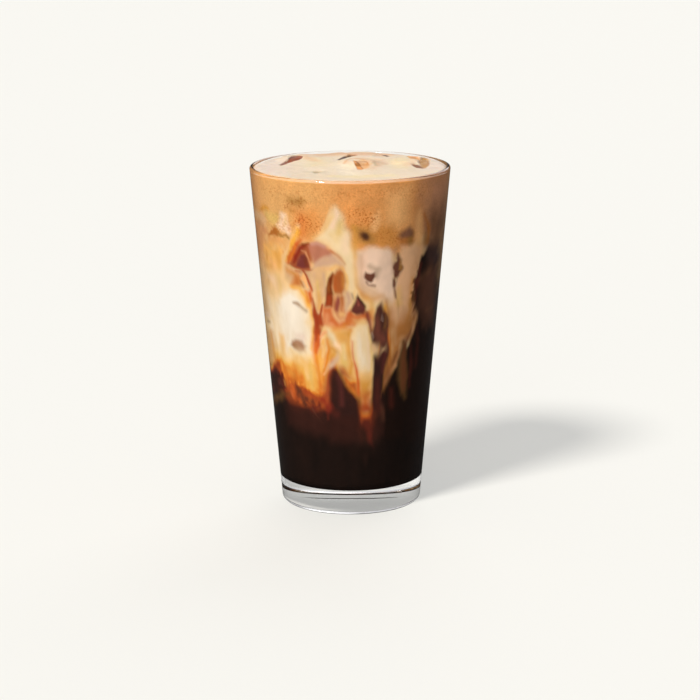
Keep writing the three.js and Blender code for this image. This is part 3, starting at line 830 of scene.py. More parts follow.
# Pale milk at the right, with the window that looks like a pebble and the dark cleft
RIGHT_STROKES = [
    area("column", 2.4, (33, 122), (50, 121), (52, 112), (50, 104), (50, 96), (54, 92), (54, 84),
         (48, 79), (38, 80), (26, 88), (28, 98)),
    area("white lilac", 2.6, (5.4, 121), (12, 122.8), (22, 121.8), (27, 119), (30, 112),
         (30, 104), (30, 98), (25, 97), (21, 99.2), (14, 101), (9, 103.2), (5.6, 107), (4.6, 113)),
    line("tan", 3, (8, 105, 0.6), (16, 102.4, 1.2), (26, 98.4, 1.1), fade=0.8),
    line("pink milk", 2.5, (16, 104.6, 1.4), (26, 101, 1.2), fade=0.3),
    line("golden brown", 3, (7, 101.6, 0.7), (14, 99.6, 1.1), (21, 100, 0.8), fade=0.75),
    area("pale veil", 4, (4.6, 120), (9, 121), (9.6, 112), (8, 103), (4.6, 106), fade=0.85),
    line("grey brown", 3, (29, 120.4, 0.8), (28.4, 115, 1.2), (30.6, 109, 1.2), fade=0.75),
    line("white lilac", 2.6, (24, 118, 0.8), (24, 110, 1.6), (22, 104, 1.4), fade=0.9),
    line("grey", 2.4, (12.6, 114, 0.9), (16.8, 112, 1.2), (16.8, 108.5, 0.9), fade=0.8),
    area("window", 0.9, (8.2, 108.8), (8.8, 110.6), (9.8, 112), (11, 111.2), (13, 110.8), (15.8, 111),
         (16.2, 109), (14.4, 106.8), (13, 106.4), (10.6, 107.4)),
    line("window", 0.9, (9.8, 107, 0.4), (11.4, 105.6, 0.35), (13.4, 105.2, 0.5), (16, 104.6, 0.3),
         fade=0.7),
    line("gold band", 2.6, (33, 103, 0.8), (33.6, 96, 1.2), fade=0.9),
    line("window", 1.2, (31, 118.4, 0.6), (31.8, 115.8, 1.3), (30.4, 113.6, 1.5), (32, 111.8, 1.7),
         (31.2, 110, 1.4), (29.4, 108, 1.1), (29.2, 105.4, 0.7), (30.4, 102, 0.2), (31.4, 99, 0.1)),
    line("olive", 1, (32.6, 116, 0.3), (33.4, 111.6, 0.5), fade=0.7),
    line("olive", 0.9, (32.6, 98, 0.2), (33, 96, 0.4), (33.6, 91, 0.2), fade=0.4),
    area("brown tan", 5, (34, 92), (46, 96), (54, 92), (54, 84), (38, 84), fade=0.5),
    line("brown tan", 5, (48, 121, 1), (46.4, 112, 1.2), (43, 103, 0.6), fade=0.4),
    line("golden brown", 3, (44.6, 106, 0.5), (43, 98, 1), (43.6, 93, 1.2), (42, 85, 1.2), fade=0.8),
    line("olive", 1.8, (43, 97, 0.6), (43.6, 93, 0.7), fade=0.6),
    area("brown tan", 5, (28, 88), (50, 90), (52, 85), (48, 79), (39.6, 79.6), (36.6, 74),
         (34, 68), (29, 63), (25, 58.2), (23.8, 62), (25.4, 67), (28, 74), (27, 82)),
    line("column", 2.4, (48, 86, 0.5), (46.6, 82, 0.9), fade=0.5),
    line("tan", 2, (33.6, 92, 0.7), (32, 85, 0.8), (33, 78, 0.6), fade=0.4),
    line("rim tan", 0.9, (39.6, 79.4, 0.4), (36.6, 73.8, 0.6), (33.8, 68.6, 0.6),
         (29.6, 64.4, 0.5), (26, 60.4, 0.4), fade=0.85),
    line("rim tan", 1.1, (27.6, 88, 0.6), (26.6, 85.6, 0.5), fade=0.8),
    line("red orange", 1.4, (27.4, 84.6, 0.6), (27.6, 81, 0.6), (27.8, 77, 0.3), fade=0.55),
    line("notch", 0.9, (28.8, 86, 0.3), (28.6, 76, 0.35), (30, 70, 0.3), (28.4, 66, 0.3), fade=0.8),
    line("notch", 1.4, (36, 79, 0.4), (35, 75.8, 0.6), (34, 72, 0.3), fade=0.6),
    line("notch brown", 1.6, (34.4, 74, 0.2), (31, 68.6, 0.7), (27.4, 64, 0.5), (25.4, 60.4, 0.3),
         fade=0.9),
    line("notch brown", 2, (46.4, 97.4, 0.4), (46.2, 93.6, 0.8), (48.8, 89.8, 0.8), fade=0.6),
    line("dim", 0.7, (24.2, 64, 0.3), (23.6, 58.5, 0.25), (22.6, 54, 0.25), fade=0.8),
]

# Coffee at the right, and its tongues between the fingers of milk, with painted shade over the milk above
# it
DARK_STROKES = [
    area("night", 1.5, (30, 63.4), (34.8, 68), (37.6, 73.4), (40, 78.4), (43, 77.6), (44, 50),
         (46, 34), (28, 34), (27, 48), (25.4, 57)),
    area("night", 1.8, (50.2, 116.2), (52.6, 116.4), (54.4, 118), (57.6, 120), (64, 119.6), (76, 117),
         (96, 114), (96, 30), (52, 30), (38, 60), (41, 74), (45, 78), (48, 82.6), (50.6, 86.6),
         (51, 89.5), (48.6, 92.6), (46.2, 95.6), (45.2, 99.6), (45.4, 103), (47.2, 108.4),
         (49, 112.4)),
    # Painted shade: the milk at the right, darker where it turns away from the light
    area("painted shade wine", 3, (55, 119), (60, 122), (72, 121), (92, 118), (92, 107), (76, 109), (60, 111),
         (56.4, 114.6), fade=0.85),
    line("umber", 5, (58, 122, 0.6), (66, 120.4, 1), (90, 119, 1.5), fade=0.7),
    area("dim brown", 7, (51, 106), (60, 110), (74, 110), (76, 83), (61, 84), (52, 93)),
    line("umber", 3, (50, 105.4, 0.4), (56, 107.4, 0.9), (64, 108.6, 0.6), fade=0.45),
    line("night", 3, (52.6, 111, 0.8), (58, 112, 0.9), fade=0.6),
    line("wine", 2.4, (47, 94.4, 0.5), (46.8, 99, 0.9), (48.6, 106, 0.7), (50.6, 112, 0.5), fade=0.75),
    line("umber", 2.4, (61, 90, 0.5), (70, 90.6, 0.9), fade=0.45),
    line("olive dark", 1, (45.6, 103, 0.3), (45.6, 97.6, 0.4), (48, 93, 0.3), fade=0.7),
    line("olive dark", 2.8, (39.8, 78, 1), (39.8, 70, 2.1), (41.2, 62, 2.9), (43, 56, 1.8),
         (45, 53, 0.4)),
    line("notch brown", 2.2, (46.6, 84, 0.4), (43.6, 80.6, 0.9), (41.4, 77, 0.9), (40.4, 70, 1.1),
         (42.4, 62, 2), (43, 56, 0.8), fade=0.9),
    line("wine", 2.4, (47, 76, 0.4), (48.4, 68, 0.8), (48.6, 58, 0.8), fade=0.5),
    line("wine", 3.6, (31.6, 57, 0.6), (32.4, 50, 0.9), fade=0.4),
    line("wine", 3, (52, 84, 0.8), (54, 78, 1), (54, 66, 0.7), fade=0.4),
    area("sooty", 1.2, (16.4, 73.6), (20, 74.6), (27.6, 77), (28, 73), (26, 69), (24.4, 64),
         (24, 58), (22, 50), (18, 48), (15.6, 52), (15.4, 60), (16.6, 68)),
    line("plum", 2.4, (20, 72, 0.6), (25.6, 74.6, 0.9), (24, 66, 0.6), fade=0.4),
    line("wine", 3.4, (19.4, 62, 0.6), (20, 53, 1.2), (21, 48, 0.8), fade=0.5),
    line("rust brown", 3.4, (-15.4, 66.6, 0.5), (-18, 59, 1.6), (-18, 51.6, 1.1)),
    area("deep wash", 2.6, (-10.8, 68.4), (-13.4, 66.8), (-15.4, 61), (-16, 54), (-16, 44),
         (6, 40), (6.2, 54), (3.4, 55.6), (0.6, 57.2), (-2.4, 59.6), (-5.4, 62), (-7.6, 65.4), (-9, 67.6)),
    area("sooty", 3, (-9.6, 65), (-11.6, 63), (-12, 55), (-11, 46), (4, 46), (5, 52.4), (0, 53.4),
         (-4, 57.4), (-7, 62.4), fade=0.7),
    line("plum", 2.6, (-9.4, 64, 0.8), (-7.6, 60.5, 0.9), (-7, 52, 0.9), fade=0.35),
    line("blood", 3, (-21.4, 54, 1.1), (-17.6, 50, 1.3)),
    line("wine", 3.4, (-22, 51, 0.8), (-16, 48.6, 1), (-10, 47, 0.7), fade=0.5),
]

# Fingers of milk in the middle
MIDDLE_STROKES = [
    area("gold band", 3, (-20, 86), (-12, 86.6), (0, 86.6), (1, 76), (2, 66), (-2, 63), (-7, 68),
         (-10, 74), (-18, 78)),
    line("bright orange", 2.2, (-11, 86.4, 0.5), (-4, 86.8, 1), (0.4, 85.4, 0.7), fade=0.9),
    area("ochre", 2.4, (-9.6, 85), (-2, 85.6), (-1, 80.6), (-6, 80), (-10, 82.6), fade=0.75),
    line("soft cream", 1.7, (-15.4, 84.8, 0.9), (-13, 82.6, 1.3), (-10.4, 80, 0.9)),
    line("pink milk", 1.7, (-10.6, 79, 1), (-7, 77.8, 1.1), (-5.6, 74.6, 0.5), fade=0.8),
    line("red orange", 1.6, (-22.4, 82, 0.8), (-23.6, 78.2, 1.2), (-24.8, 74.8, 0.6)),
    line("peach", 1, (-21.4, 81.6, 0.4), (-19.4, 83, 0.8), (-16.8, 84, 0.7)),
    line("amber", 1.4, (-19, 80.4, 0.9), (-19.6, 75, 1.1), (-21, 69.6, 0.6)),
    line("pale gold", 1, (-19.6, 78, 0.4), (-20, 73, 0.5), fade=0.5),
    line("bright orange", 1.6, (-16, 80.4, 0.6), (-15.2, 77.2, 1.1), (-17, 72, 0.9), (-19.4, 67.6, 0.8),
         (-20.6, 62, 0.8)),
    line("ochre", 1.8, (-12.8, 77, 0.9), (-10.6, 75.8, 0.8), (-13.6, 73, 0.5)),
    line("grey", 1.6, (-9.6, 75.6, 0.4), (-8, 74.8, 0.6), fade=0.45),
    line("grey lilac", 1.5, (-8.4, 73.2, 0.9), (-11, 71.8, 1.4), (-14, 69.8, 1.1), (-16.8, 67.6, 0.6)),
    line("lit foam", 0.9, (-16.6, 68, 0.4), (-19.8, 64.6, 0.4)),
    area("yellow tan", 2.2, (-7.4, 72.6), (-5.4, 79), (-2.6, 79), (-2, 70), (-4.6, 67), fade=0.9),
    line("soft cream", 1.8, (-4.4, 78, 0.4), (-3.8, 73, 0.6), fade=0.5),
    line("ochre", 1.8, (-0.8, 84, 0.7), (-0.8, 76, 0.9), (0.4, 70, 1), (-1, 65.6, 1.2)),
    line("golden brown", 2.4, (-6, 68, 0.6), (-3, 64.6, 1.2), (2, 63, 1)),
    line("rust brown", 2.6, (-8, 68.6, 0.4), (-5, 64.4, 1.3), (-1, 61, 1), fade=0.9),
    area("rust", 2.2, (-5.6, 64), (0, 62), (5, 61.6), (6.6, 56), (5.8, 54.6), (3.2, 56.6), (-2, 60)),
    line("soft cream", 2, (-2.6, 86, 0.2), (1, 88, 0.6), fade=0.3),
    area("cream", 1.8, (1.8, 86), (4.4, 88.6), (9, 89), (11.6, 87), (13.8, 80), (15.4, 73), (14.8, 66),
         (12, 63.6), (6.6, 63.6), (3.4, 68), (1.8, 76)),
    line("gold band", 2.6, (4, 90, 0.8), (9.6, 89, 1.2), fade=0.95),
    line("pink milk", 1.6, (12.6, 82, 0.4), (13.4, 74, 0.6), (12.6, 69, 0.4), fade=0.6),
    line("milk", 3, (6.4, 84, 0.8), (7, 78, 1.2), (9, 71, 1.4), fade=0.7),
    line("yellow tan", 1.6, (3, 80, 0.4), (3, 74, 0.5), (4.6, 69, 0.4), fade=0.6),
    line("yellow tan", 1.4, (12.4, 86, 0.4), (14.4, 79, 0.5), (15.6, 72, 0.4), (14.4, 65, 0.5), fade=0.8),
    area("gold band", 3, (4.4, 66.4), (15.2, 66.4), (15.2, 60), (5.6, 60)),
    area("ochre", 3.4, (5.6, 62.4), (15, 62.4), (15, 54), (6, 54)),
    area("rust orange", 4, (6.2, 57), (15, 57), (15.6, 46), (6.6, 46)),
    line("golden brown", 2, (8.4, 58, 0.6), (8.6, 53, 0.6), fade=0.4),
    line("stream", 3, (8, 49.6, 1), (14, 49, 1), fade=0.6),
    area("stream", 4, (6.6, 50), (17, 50), (18.6, 40), (7.2, 40), fade=0.95),
    area("red brown", 4, (6.6, 46), (19, 46), (20, 36), (7.4, 36)),
    area("dark", 4, (5, 41), (25, 41), (25, 30), (5, 30)),
    line("red orange", 1.3, (1.6, 80, 0.2), (2, 72, 0.4), (3.8, 66, 0.6), (5.6, 60, 0.7), (6, 56, 0.4)),
    line("wine", 2, (12, 43, 1), (15, 38.6, 1.3), (15.6, 34.6, 1.1), (18.6, 31, 0.6), fade=0.8),
    area("deep wash", 5, (-16, 49), (4.4, 50), (6.4, 42), (8, 34), (-16, 34), fade=0.85),
    area("deep wash", 4, (16.6, 52), (17.4, 46), (20, 36), (28, 36), (29, 48), (24, 54), fade=0.8),
    line("dark rust", 2.4, (18, 47.6, 0.5), (19.6, 46, 0.7), fade=0.6),
    line("coffee", 4, (4, 30, 3), (26, 30, 3)),
    line("wine", 1.4, (-17.8, 51, 0.5), (-18, 44.6, 0.4), fade=0.8),
    line("dim brown", 3, (22, 51, 0.6), (25, 47, 1.2), (26, 44, 0.8), fade=0.6),
]

# The tall window right of the middle
WINDOW_STROKES = [
    line("white lilac", 2, (17.6, 98.4, 0.5), (21, 99.4, 0.6), fade=0.5),
    line("golden brown", 3, (12.6, 94, 0.8), (15.4, 90, 1), (16, 85, 0.7)),
    line("stream", 2, (10.6, 93.6, 0.6), (12.4, 89.6, 0.9), (14.6, 84.6, 0.7), fade=0.85),
    line("brown tan", 2.6, (24.6, 98, 0.6), (27, 93, 1.2), (27.8, 86, 0.7)),
    area("deep window", 1.2, (19.4, 97.6), (21, 98), (23.6, 94.6), (26.6, 90.6), (26.8, 86),
         (26.2, 80), (27, 76.4), (24, 76.6), (19, 77.4), (15.6, 79), (14.6, 82), (16, 88),
         (16.6, 92.6), (17.6, 96)),
    line("sooty", 1.8, (20.2, 95, 0.7), (22.6, 90, 1), (22, 86, 0.6), fade=0.7),
    line("loop", 2, (18.6, 90, 0.6), (19.6, 84, 1), (23, 81, 0.8), fade=0.35),
    line("dim", 1.2, (24.8, 91.5, 0.5), (24.2, 86, 0.6), fade=0.4),
    line("sooty", 1.2, (10.8, 94, 0.3), (12.4, 89.6, 0.3), (14.4, 84.4, 0.5), (16.6, 79.6, 0.8), fade=0.7),
    line("loop", 1.2, (11.6, 93, 0.3), (13.6, 88, 0.5), fade=0.6),
    # Painted glints: thin light lines on the window's ice
    line("lilac", 0.5, (15, 84, 0.2), (16.2, 81.6, 0.25), fade=0.35),
    line("lilac", 0.5, (21.5, 91, 0.2), (22.6, 88.6, 0.2), fade=0.5),
    line("tan", 1.6, (15.6, 78.4, 0.7), (17.8, 76.4, 1.3), (20, 75.4, 0.8), (22.4, 75.6, 0.6),
         (25.6, 76.6, 0.3), fade=0.9),
]

WALL_STROKES = [
    *FOAM_STROKES,
    *LEFT_STROKES,
    *LOWER_LEFT_STROKES,
    *CURVE_STROKES,
    *VEIL_STROKES,
    *RIGHT_STROKES,
    *MIDDLE_STROKES,
    *DARK_STROKES,
    *WINDOW_STROKES,
]

# Tongues of coffee and milk past the left and the right edge of what the photograph shows
BACK_STROKES = [
    line("rust brown", 3, (-121, 104, 0.4), (-124, 92, 1.6), (-125.6, 76, 3), (-122, 62, 5)),
    line("night", 2, (-121.4, 101, 0.2), (-124, 90, 1.1), (-125.6, 76, 2.2), (-123, 62, 4.4),
         (-119, 48, 8)),
    line("soft cream", 2.4, (-113, 102, 0.5), (-115.4, 90, 1.6), (-116, 78, 1.4), (-114.6, 69, 0.3),
         fade=0.85),
    line("rust", 2.6, (-105, 86, 0.3), (-106.4, 75, 1.2), (-108, 63, 2.4), fade=0.9),
    line("night", 2, (-105.4, 80, 0.2), (-107, 71, 0.9), (-110, 60, 2.4), (-114, 48, 6)),
    line("wine", 2, (-131, 92, 0.2), (-133.6, 81, 0.8), (-132, 67, 1.2), fade=0.7),
    line("yellow tan", 2, (-98, 110, 0.4), (-100, 98, 1.2), (-99, 86, 0.7), (-100.4, 76, 0.2), fade=0.8),
    area("window", 1.2, (-98.6, 93), (-96.4, 95.6), (-93, 94.4), (-92.6, 91), (-95, 89.6), (-97.8, 90.4)),
    line("soft cream", 2, (96.6, 128, 0.6), (94.6, 118, 1.9), (97.4, 107, 1.7), (96.4, 95, 1),
         (94.4, 86, 0.2)),
    line("rim tan", 1.8, (91, 120, 0.4), (89, 108, 1.3), (90.6, 96, 1.1), (89.4, 83, 0.2)),
    line("notch brown", 1.6, (87.6, 100, 0.2), (86.8, 88, 0.8), (87.6, 72, 0.9), (86.8, 60, 0.2), fade=0.8),
    line("column", 1.6, (93, 108, 0.2), (92.4, 99, 0.9), (93.6, 88, 0.7), (92.8, 78, 0.2)),
    line("yellow tan", 1.6, (101, 124, 0.4), (100, 113, 1), (102, 101, 1), (100.6, 90, 0.3)),
    line("stream", 1.3, (98.8, 106, 0.2), (99.4, 96, 0.8), (97.8, 87, 0.7), (97, 79, 0.2), fade=0.9),
    line("olive shade", 1.6, (92, 132, 0.4), (95, 131, 0.9), (98.6, 132, 0.4), fade=0.8),
    line("rust brown", 2, (106, 101, 0.3), (104.6, 89, 1.2), (106, 75, 1.5), (105, 64, 0.5)),
    line("night", 2, (110, 84, 0.2), (109, 74, 1), (110, 62, 2)),
]

# The back repeats the front's strokes up to so many degrees from its middle, and the darkest up
# to fewer at the right. Each is shifted by up to so many degrees and millimetres
BACK_LIMIT = 70
BACK_DARK_LIMIT = 40
DARKEST = ("coffee", "night")
BACK_SHIFT = (6, 3)
BACK_SEED = 11
# A stroke's first point, in tenths and with this added to its turn, is the rest of its seed
SEED_STEPS = 10
SEED_OFFSET = 3600


def back_strokes(strokes):
    """The front's strokes once more for the back, each a little out of its place."""
    repeated = []
    for stroke in strokes:
        turn, z = stroke["points"][0][:2]
        seed = [BACK_SEED, round(SEED_STEPS * turn + SEED_OFFSET), round(SEED_STEPS * z)]
        aside, up = np.random.default_rng(seed).uniform(-1, 1, 2) * BACK_SHIFT
        middle = middle_of(stroke)
        too_dark = stroke["paint"] in DARKEST and middle > BACK_DARK_LIMIT
        if abs(middle) > BACK_LIMIT or too_dark:
            continue
        points = [(p[0] + BACK_TURN + aside, p[1] + up, *p[2:]) for p in stroke["points"]]
        repeated.append({**stroke, "points": tuple(points)})
    return repeated


# How the milk thins out below the layer's usual lower edge
THINNING_HEIGHT = [-16, -7, -2, 2, 7, 14]
THINNING_LEVEL = [0.02, 0.08, 0.24, 0.46, 0.62, 0.78]
# Height over which the milk's colour goes over into the foam's
FOAM_BLEND = 4
# The paint is warped more at the back: from this angle to either side, growing over so many degrees
BACK_WARP_FROM = 84
BACK_WARP_GROWTH = 16


def turn_at(points):
    return np.degrees(np.arctan2(points[:, 0], -points[:, 1]))


def paint_wall(points):
    """The level of milk, the tint and its cover at points of the drink's wall."""
    turn = turn_at(points)
    z = points[:, 2]
    back = smooth((np.abs(turn) - BACK_WARP_FROM) / BACK_WARP_GROWTH)
    aside = wall_noise(WARP_ASIDE, turn, z) + back * wall_noise(BACK_WARP_ASIDE, turn, z)
    up = wall_noise(WARP_UP, turn, z) + back * wall_noise(BACK_WARP_UP, turn, z)
    warped_turn = turn + aside
    warped_z = z + up
    at_wall = np.ones(len(turn))
    above = warped_z - boundary_height(MILK_EDGE, MILK_WAVES, warped_turn, at_wall)
    level = np.interp(above, THINNING_HEIGHT, THINNING_LEVEL)
    canvas = Canvas(warped_turn, warped_z, level, at_wall=True)
    foam_edge = boundary_height(FOAM_EDGE, FOAM_WAVES, warped_turn, at_wall)
    foam = smooth((warped_z - foam_edge) / FOAM_BLEND + 0.5)
    canvas.tint = linear(PAINTS["foam"]) * foam[:, None]
    canvas.cover = foam.copy()
    canvas.paint_all(WALL_STROKES)
    canvas.paint_all([*back_strokes(WALL_STROKES), *BACK_STROKES])
    add_veins(canvas)
    return canvas


# How thin the veins are, and how much veins, streaks and clouds change the level of milk and,
# the latter two, the colours that cover it
VEIN_SHARPNESS = 8
VEIN_LEVEL = 0.06
STREAK_LEVEL = 0.05
CLOUD_LEVEL = 0.02
STREAK_TINT = 0.03
CLOUD_TINT = 0.07
# They show between the first and the last of these levels, and in full between the middle two
VEINED_LEVELS = (0.3, 0.5, 0.75, 1.05)


def add_veins(canvas):
    """Soft streaks and thin veins of coffee in the milk, along the way that it sinks."""
    turn = canvas.u + wall_noise(VEIN_ASIDE, canvas.u, canvas.v)
    z = canvas.v + wall_noise(VEIN_UP, canvas.u, canvas.v)
    vein = (1 - np.abs(wall_noise(VEIN_NOISE, turn, z))) ** VEIN_SHARPNESS
    streak = wall_noise(STREAK_NOISE, turn, z)
    cloud = wall_noise(CLOUD_NOISE, turn, z)
    first, full, fading, last = VEINED_LEVELS
    rising = smooth((canvas.level - first) / (full - first))
    veined = rising * smooth((last - canvas.level) / (last - fading))
    change = STREAK_LEVEL * streak - VEIN_LEVEL * vein + CLOUD_LEVEL * cloud
    canvas.level = np.clip(canvas.level + veined * change, 0, 1)
    canvas.tint *= (1 + CLOUD_TINT * cloud + STREAK_TINT * streak)[:, None]


# Where dark bubbles show in the foam at the wall
SPECKLES = [
    line("speckle", 6, (-60, 145, 3), (0, 146, 3), (50, 146, 3), fade=0.4),
    line("speckle", 6, (-34, 134, 2), (-22, 132, 3), fade=0.9),
    line("speckle", 6, (2, 137, 3), (14, 135, 3), fade=0.8),
    line("speckle", 6, (-80, 118, 4), (-52, 118, 6), (-46, 130, 4), fade=0.45),
    line("speckle", 5, (20, 128, 3), (30, 126, 3), fade=0.5),
    line("speckle", 6, (-40, 139, 2), (-30, 141, 3), fade=0.7),
]


def paint_speckle(points):
    """How many dark bubbles show in the foam at the wall."""
    canvas = Canvas(turn_at(points), points[:, 2], np.zeros(len(points)), at_wall=True)
    return canvas.most_covered([*SPECKLES, *back_strokes(SPECKLES)])


# The foam's surface, painted in millimetres from the axis

TOP_PAINTS = {
    "top cream": (215, 196, 171),
    "top lilac": (214, 196, 184),
    "top yellow": (219, 199, 158),
    "top peach": (212, 174, 136),
    "top amber": (204, 150, 100),
    "top olive": (176, 160, 128),
    "pale amber": (212, 164, 118),
    "deep amber": (204, 138, 78),
    "golden ice": (170, 126, 74),
    "dark red ice": (104, 54, 40),
    "rust ice": (146, 72, 32),
    "crease": (150, 94, 52),
    "slot": (126, 74, 38),
    "top white": (226, 212, 186),
}
PAINTS.update(TOP_PAINTS)

# Soft tones of the foam's surface
TOP_STROKES = [
    area("top lilac", 14, (-44, -14), (-30, -20), (-32, 20), (-44, 20), fade=0.9),
    area("top lilac", 12, (44, -14), (34, -10), (36, 24), (44, 24), fade=0.9),
    area("top yellow", 7, (-18, 26), (-11, 26), (-10, 0), (-18, 0), fade=0.9),
    area("top yellow", 5, (18, 24), (26, 24), (26, -6), (18, -6), fade=0.9),
    line("top white", 9, (-3, 2, 2), (-1, -14, 2), (2, -24, 2)),
    line("top peach", 5, (-24, 38, 2), (-12, 35, 5), (0, 37, 6), (14, 35, 5), (24, 36, 2), fade=0.95),
    line("mauve", 4, (-20, 35, 1), (0, 37, 2), (20, 35, 1), fade=0.35),
    line("top lilac", 3, (6, 29, 1), (18, 24, 1.4), fade=0.6),
    line("top yellow", 5, (-6, -28, 3), (4, -30, 4), (16, -26, 3)),
    line("top peach", 6, (14, 8, 3), (13, 18, 2), fade=0.8),
    line("top amber", 5, (6, 22, 1.6), (10.6, 14, 1.6), (12, 2, 1.4), (9.6, -9, 1), fade=0.55),
    line("top olive", 4, (-18, -15, 1.2), (-10.6, -15, 1.2), fade=0.45),
    area("dark ice", 0.5, (15, 33.2), (16.6, 33.4), (17, 29.4), (15.6, 28.4)),
    line("top peach", 4, (-20, 30, 1.4), (-15, 16, 2), fade=0.9),
    line("top peach", 5, (26, 2, 2), (29, 20, 2), fade=0.6),
]


def cube_turn(cube):
    """Rotation of an ice cube as a matrix, about Z first, then Y, then X."""
    x, y, z = [math.radians(angle) for angle in cube["turn"]]
    turned = Matrix.Rotation(x, 3, "X") @ Matrix.Rotation(y, 3, "Y") @ Matrix.Rotation(z, 3, "Z")
    return np.array(turned)


def cube_size(unit, number):
    """Radius factor of an ice cube with rounded corners and uneven faces."""
    rounding = (np.abs(unit) ** ICE_SHARPNESS).sum(-1) ** (-1 / ICE_SHARPNESS)
    wave = np.sin(unit * ICE_WAVES + np.multiply(ICE_WAVE_SHIFTS, number)).sum(-1)
    return rounding * (1 + ICE_UNEVENNESS / 2 * (wave - 1))


def highest_ice(number):
    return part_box(f"ice_{number + 1}")[1][2] / MM - ICE_BELOW_TOP


def inside_cube(points, cube, number):
    """How deep points lie inside an ice cube, as a share of its size; negative outside."""
    local = (points - np.array(cube["at"])) @ cube_turn(cube)
    unit = local / np.array(cube["half"])
    largest = np.abs(unit).max(-1, keepdims=True)
    on_box = unit / np.maximum(largest, TINY)
    return cube_size(on_box, number) - largest[:, 0]


def sight_y(y, z):
    """Where the photograph's line of sight through a point meets the level plane."""
    return y + SIGHT_SLOPE * (z - SIGHT_LEVEL)


# Where ice lies bare, in millimetres from the axis on the level plane
BARE_ICE = [
    area("red ice", 0.5, (-31.6, 5), (-30.4, 9), (-29.2, 14), (-28, 21), (-26.8, 28.6), (-25, 33.6),
         (-22.8, 34), (-21.2, 31.6), (-21.4, 26), (-23, 19.4), (-25, 15.6), (-26.8, 12), (-28.6, 6.8),
         (-30.4, 3.4)),
    area("dark ice", 0.35, (-5.8, 19.4), (-4.1, 25), (-2.2, 31.2), (-0.9, 34.6), (0.6, 35.8),
         (2.4, 35.4), (3.6, 33), (2, 30.6), (0.9, 29), (-0.4, 27.6), (-1.8, 24.4), (-3.1, 20.2),
         (-4.8, 18)),
    # The third cube's corner: a darker and a paler face of one amber, painted shade on the face turned from
    # the light and painted light on the face turned to it
    area("deep amber", 0.6, (1.6, 18.4), (2.6, 17.6), (3.7, 8.6), (4.9, 1), (6.4, -6), (5.2, -9.6),
         (3.4, -8.8), (2.7, 0.7), (2.1, 9.4)),
    area("pale amber", 1.4, (2.5, 17.4), (4.4, 18.6), (6.6, 17.4), (8.2, 13.6), (9, 7.4), (8.4, -0.6),
         (7.2, -6.6), (5.6, -6), (4.2, 3)),
    area("top olive", 0.9, (-16.6, -16.4), (-15.4, -13.4), (-13, -12.6), (-12.2, -15), (-13.2, -18.4),
         (-15.2, -19)),
    area("golden ice", 0.7, (31, 24.8), (33, 27.4), (35, 21.8), (35.4, 11.4), (34.6, 1),
         (33, -6.4), (31.9, -7.4), (31.2, -0.4), (30.8, 8.6), (30.6, 17.4)),
    area("top amber", 0.7, (25.8, 29.4), (27.6, 32.4), (30, 29.8), (31.4, 24.5), (30.9, 18.2),
         (29.3, 20.4), (27.3, 21.6)),
    area("slot", 0.5, (27, 7.6), (28.7, 7.8), (30.5, 3.4), (32.4, -3.6), (32, -6.8), (29.6, -5.6),
         (27.9, -0.8)),
]

# Colours of the bare facets, in the same millimetres
FACETS = [
    line("dark red ice", 0.8, (-30.2, 6.5, 0.3), (-28, 17, 0.5), (-26.2, 26.4, 0.5), (-24.8, 32, 0.3),
         fade=0.8),
    line("rust ice", 1.2, (-23.6, 22, 0.7), (-22.5, 31, 0.8)),
    line("dark red ice", 0.8, (-24.4, 19.6, 0.3), (-22.4, 24.6, 0.2), fade=0.6),
    line("crease", 0.5, (2.3, 17, 0.3), (3.6, 8.4, 0.35), (4.7, 0.8, 0.35), (5.5, -5, 0.2)),
    line("top peach", 1.2, (4.6, 15, 0.5), (6.2, 10, 0.6), fade=0.5),
    line("deep amber", 1, (7, 14, 0.3), (7.9, 8.4, 0.6), (7, 3.4, 0.3), fade=0.8),
    line("top peach", 1.4, (8.4, 15, 0.2), (9.6, 7.4, 0.4), (8.8, -1.6, 0.4), (7.2, -7.6, 0.4), fade=0.7),
    line("top peach", 1.4, (3.6, -9.4, 0.4), (6, -8.4, 0.5), fade=0.6),
    line("top amber", 1.2, (-2.6, 7.8, 0.3), (-2, 14, 0.4), (-0.8, 19.6, 0.6), (0.8, 22.4, 0.7),
         (2.8, 22.4, 0.7), (5.2, 20.6, 0.6), (7, 16.4, 0.3), fade=0.75),
    line("top peach", 1.6, (-1.4, 8, 0.4), (-0.4, 15, 0.5), fade=0.5),
    line("grey ice", 1, (10.6, 12, 0.6), (11.4, 2, 0.7), fade=0.6),
    line("pale amber", 1, (33.2, 18, 0.3), (33.8, 8, 0.3), fade=0.5),
    line("crease", 0.8, (35, 16, 0.2), (35, 6, 0.3), (33.4, -2, 0.2), fade=0.6),
    line("crease", 0.7, (29.4, 17, 0.2), (30.6, 12, 0.2), fade=0.5),
    line("top amber", 0.9, (31.2, -7.6, 0.3), (34, -1, 0.4), fade=0.8),
    line("slot", 0.8, (-15, -15.6, 0.5), (-13.4, -16, 0.4), fade=0.45),
]

# How deep the foam is lowered where ice lies bare, over a cube and beside it
POCKET_DEPTH = 1.2
GROOVE_DEPTH = 0.3
# The foam is as thick as this over a covered cube, and stays as far as this below the solids' tops
SKIN = 0.3
BELOW_SOLID = 0.06
FOAM_HIGHEST = CAD_BOX[1][2] / MM - BELOW_SOLID
# Foam near a cube rises by this share of the cube's mean height above the foam, at such distances
CLING_SHARE = 0.6
CLING_RADII = (1.3, 2.8)
CLING_DIRECTIONS = 6
# A cube's corners reach as far as this from its middle, as a share of half its size
CUBE_REACH = 1.5
# A cube's top is looked for from this far below the foam's level, over this height, by halving
SEARCH_BELOW = 0.5
SEARCH_HEIGHT = 6
SEARCH_HALVINGS = 12
# A cube counts as covered by foam where its top is no deeper than this
COVERED_DEPTH = 0.4
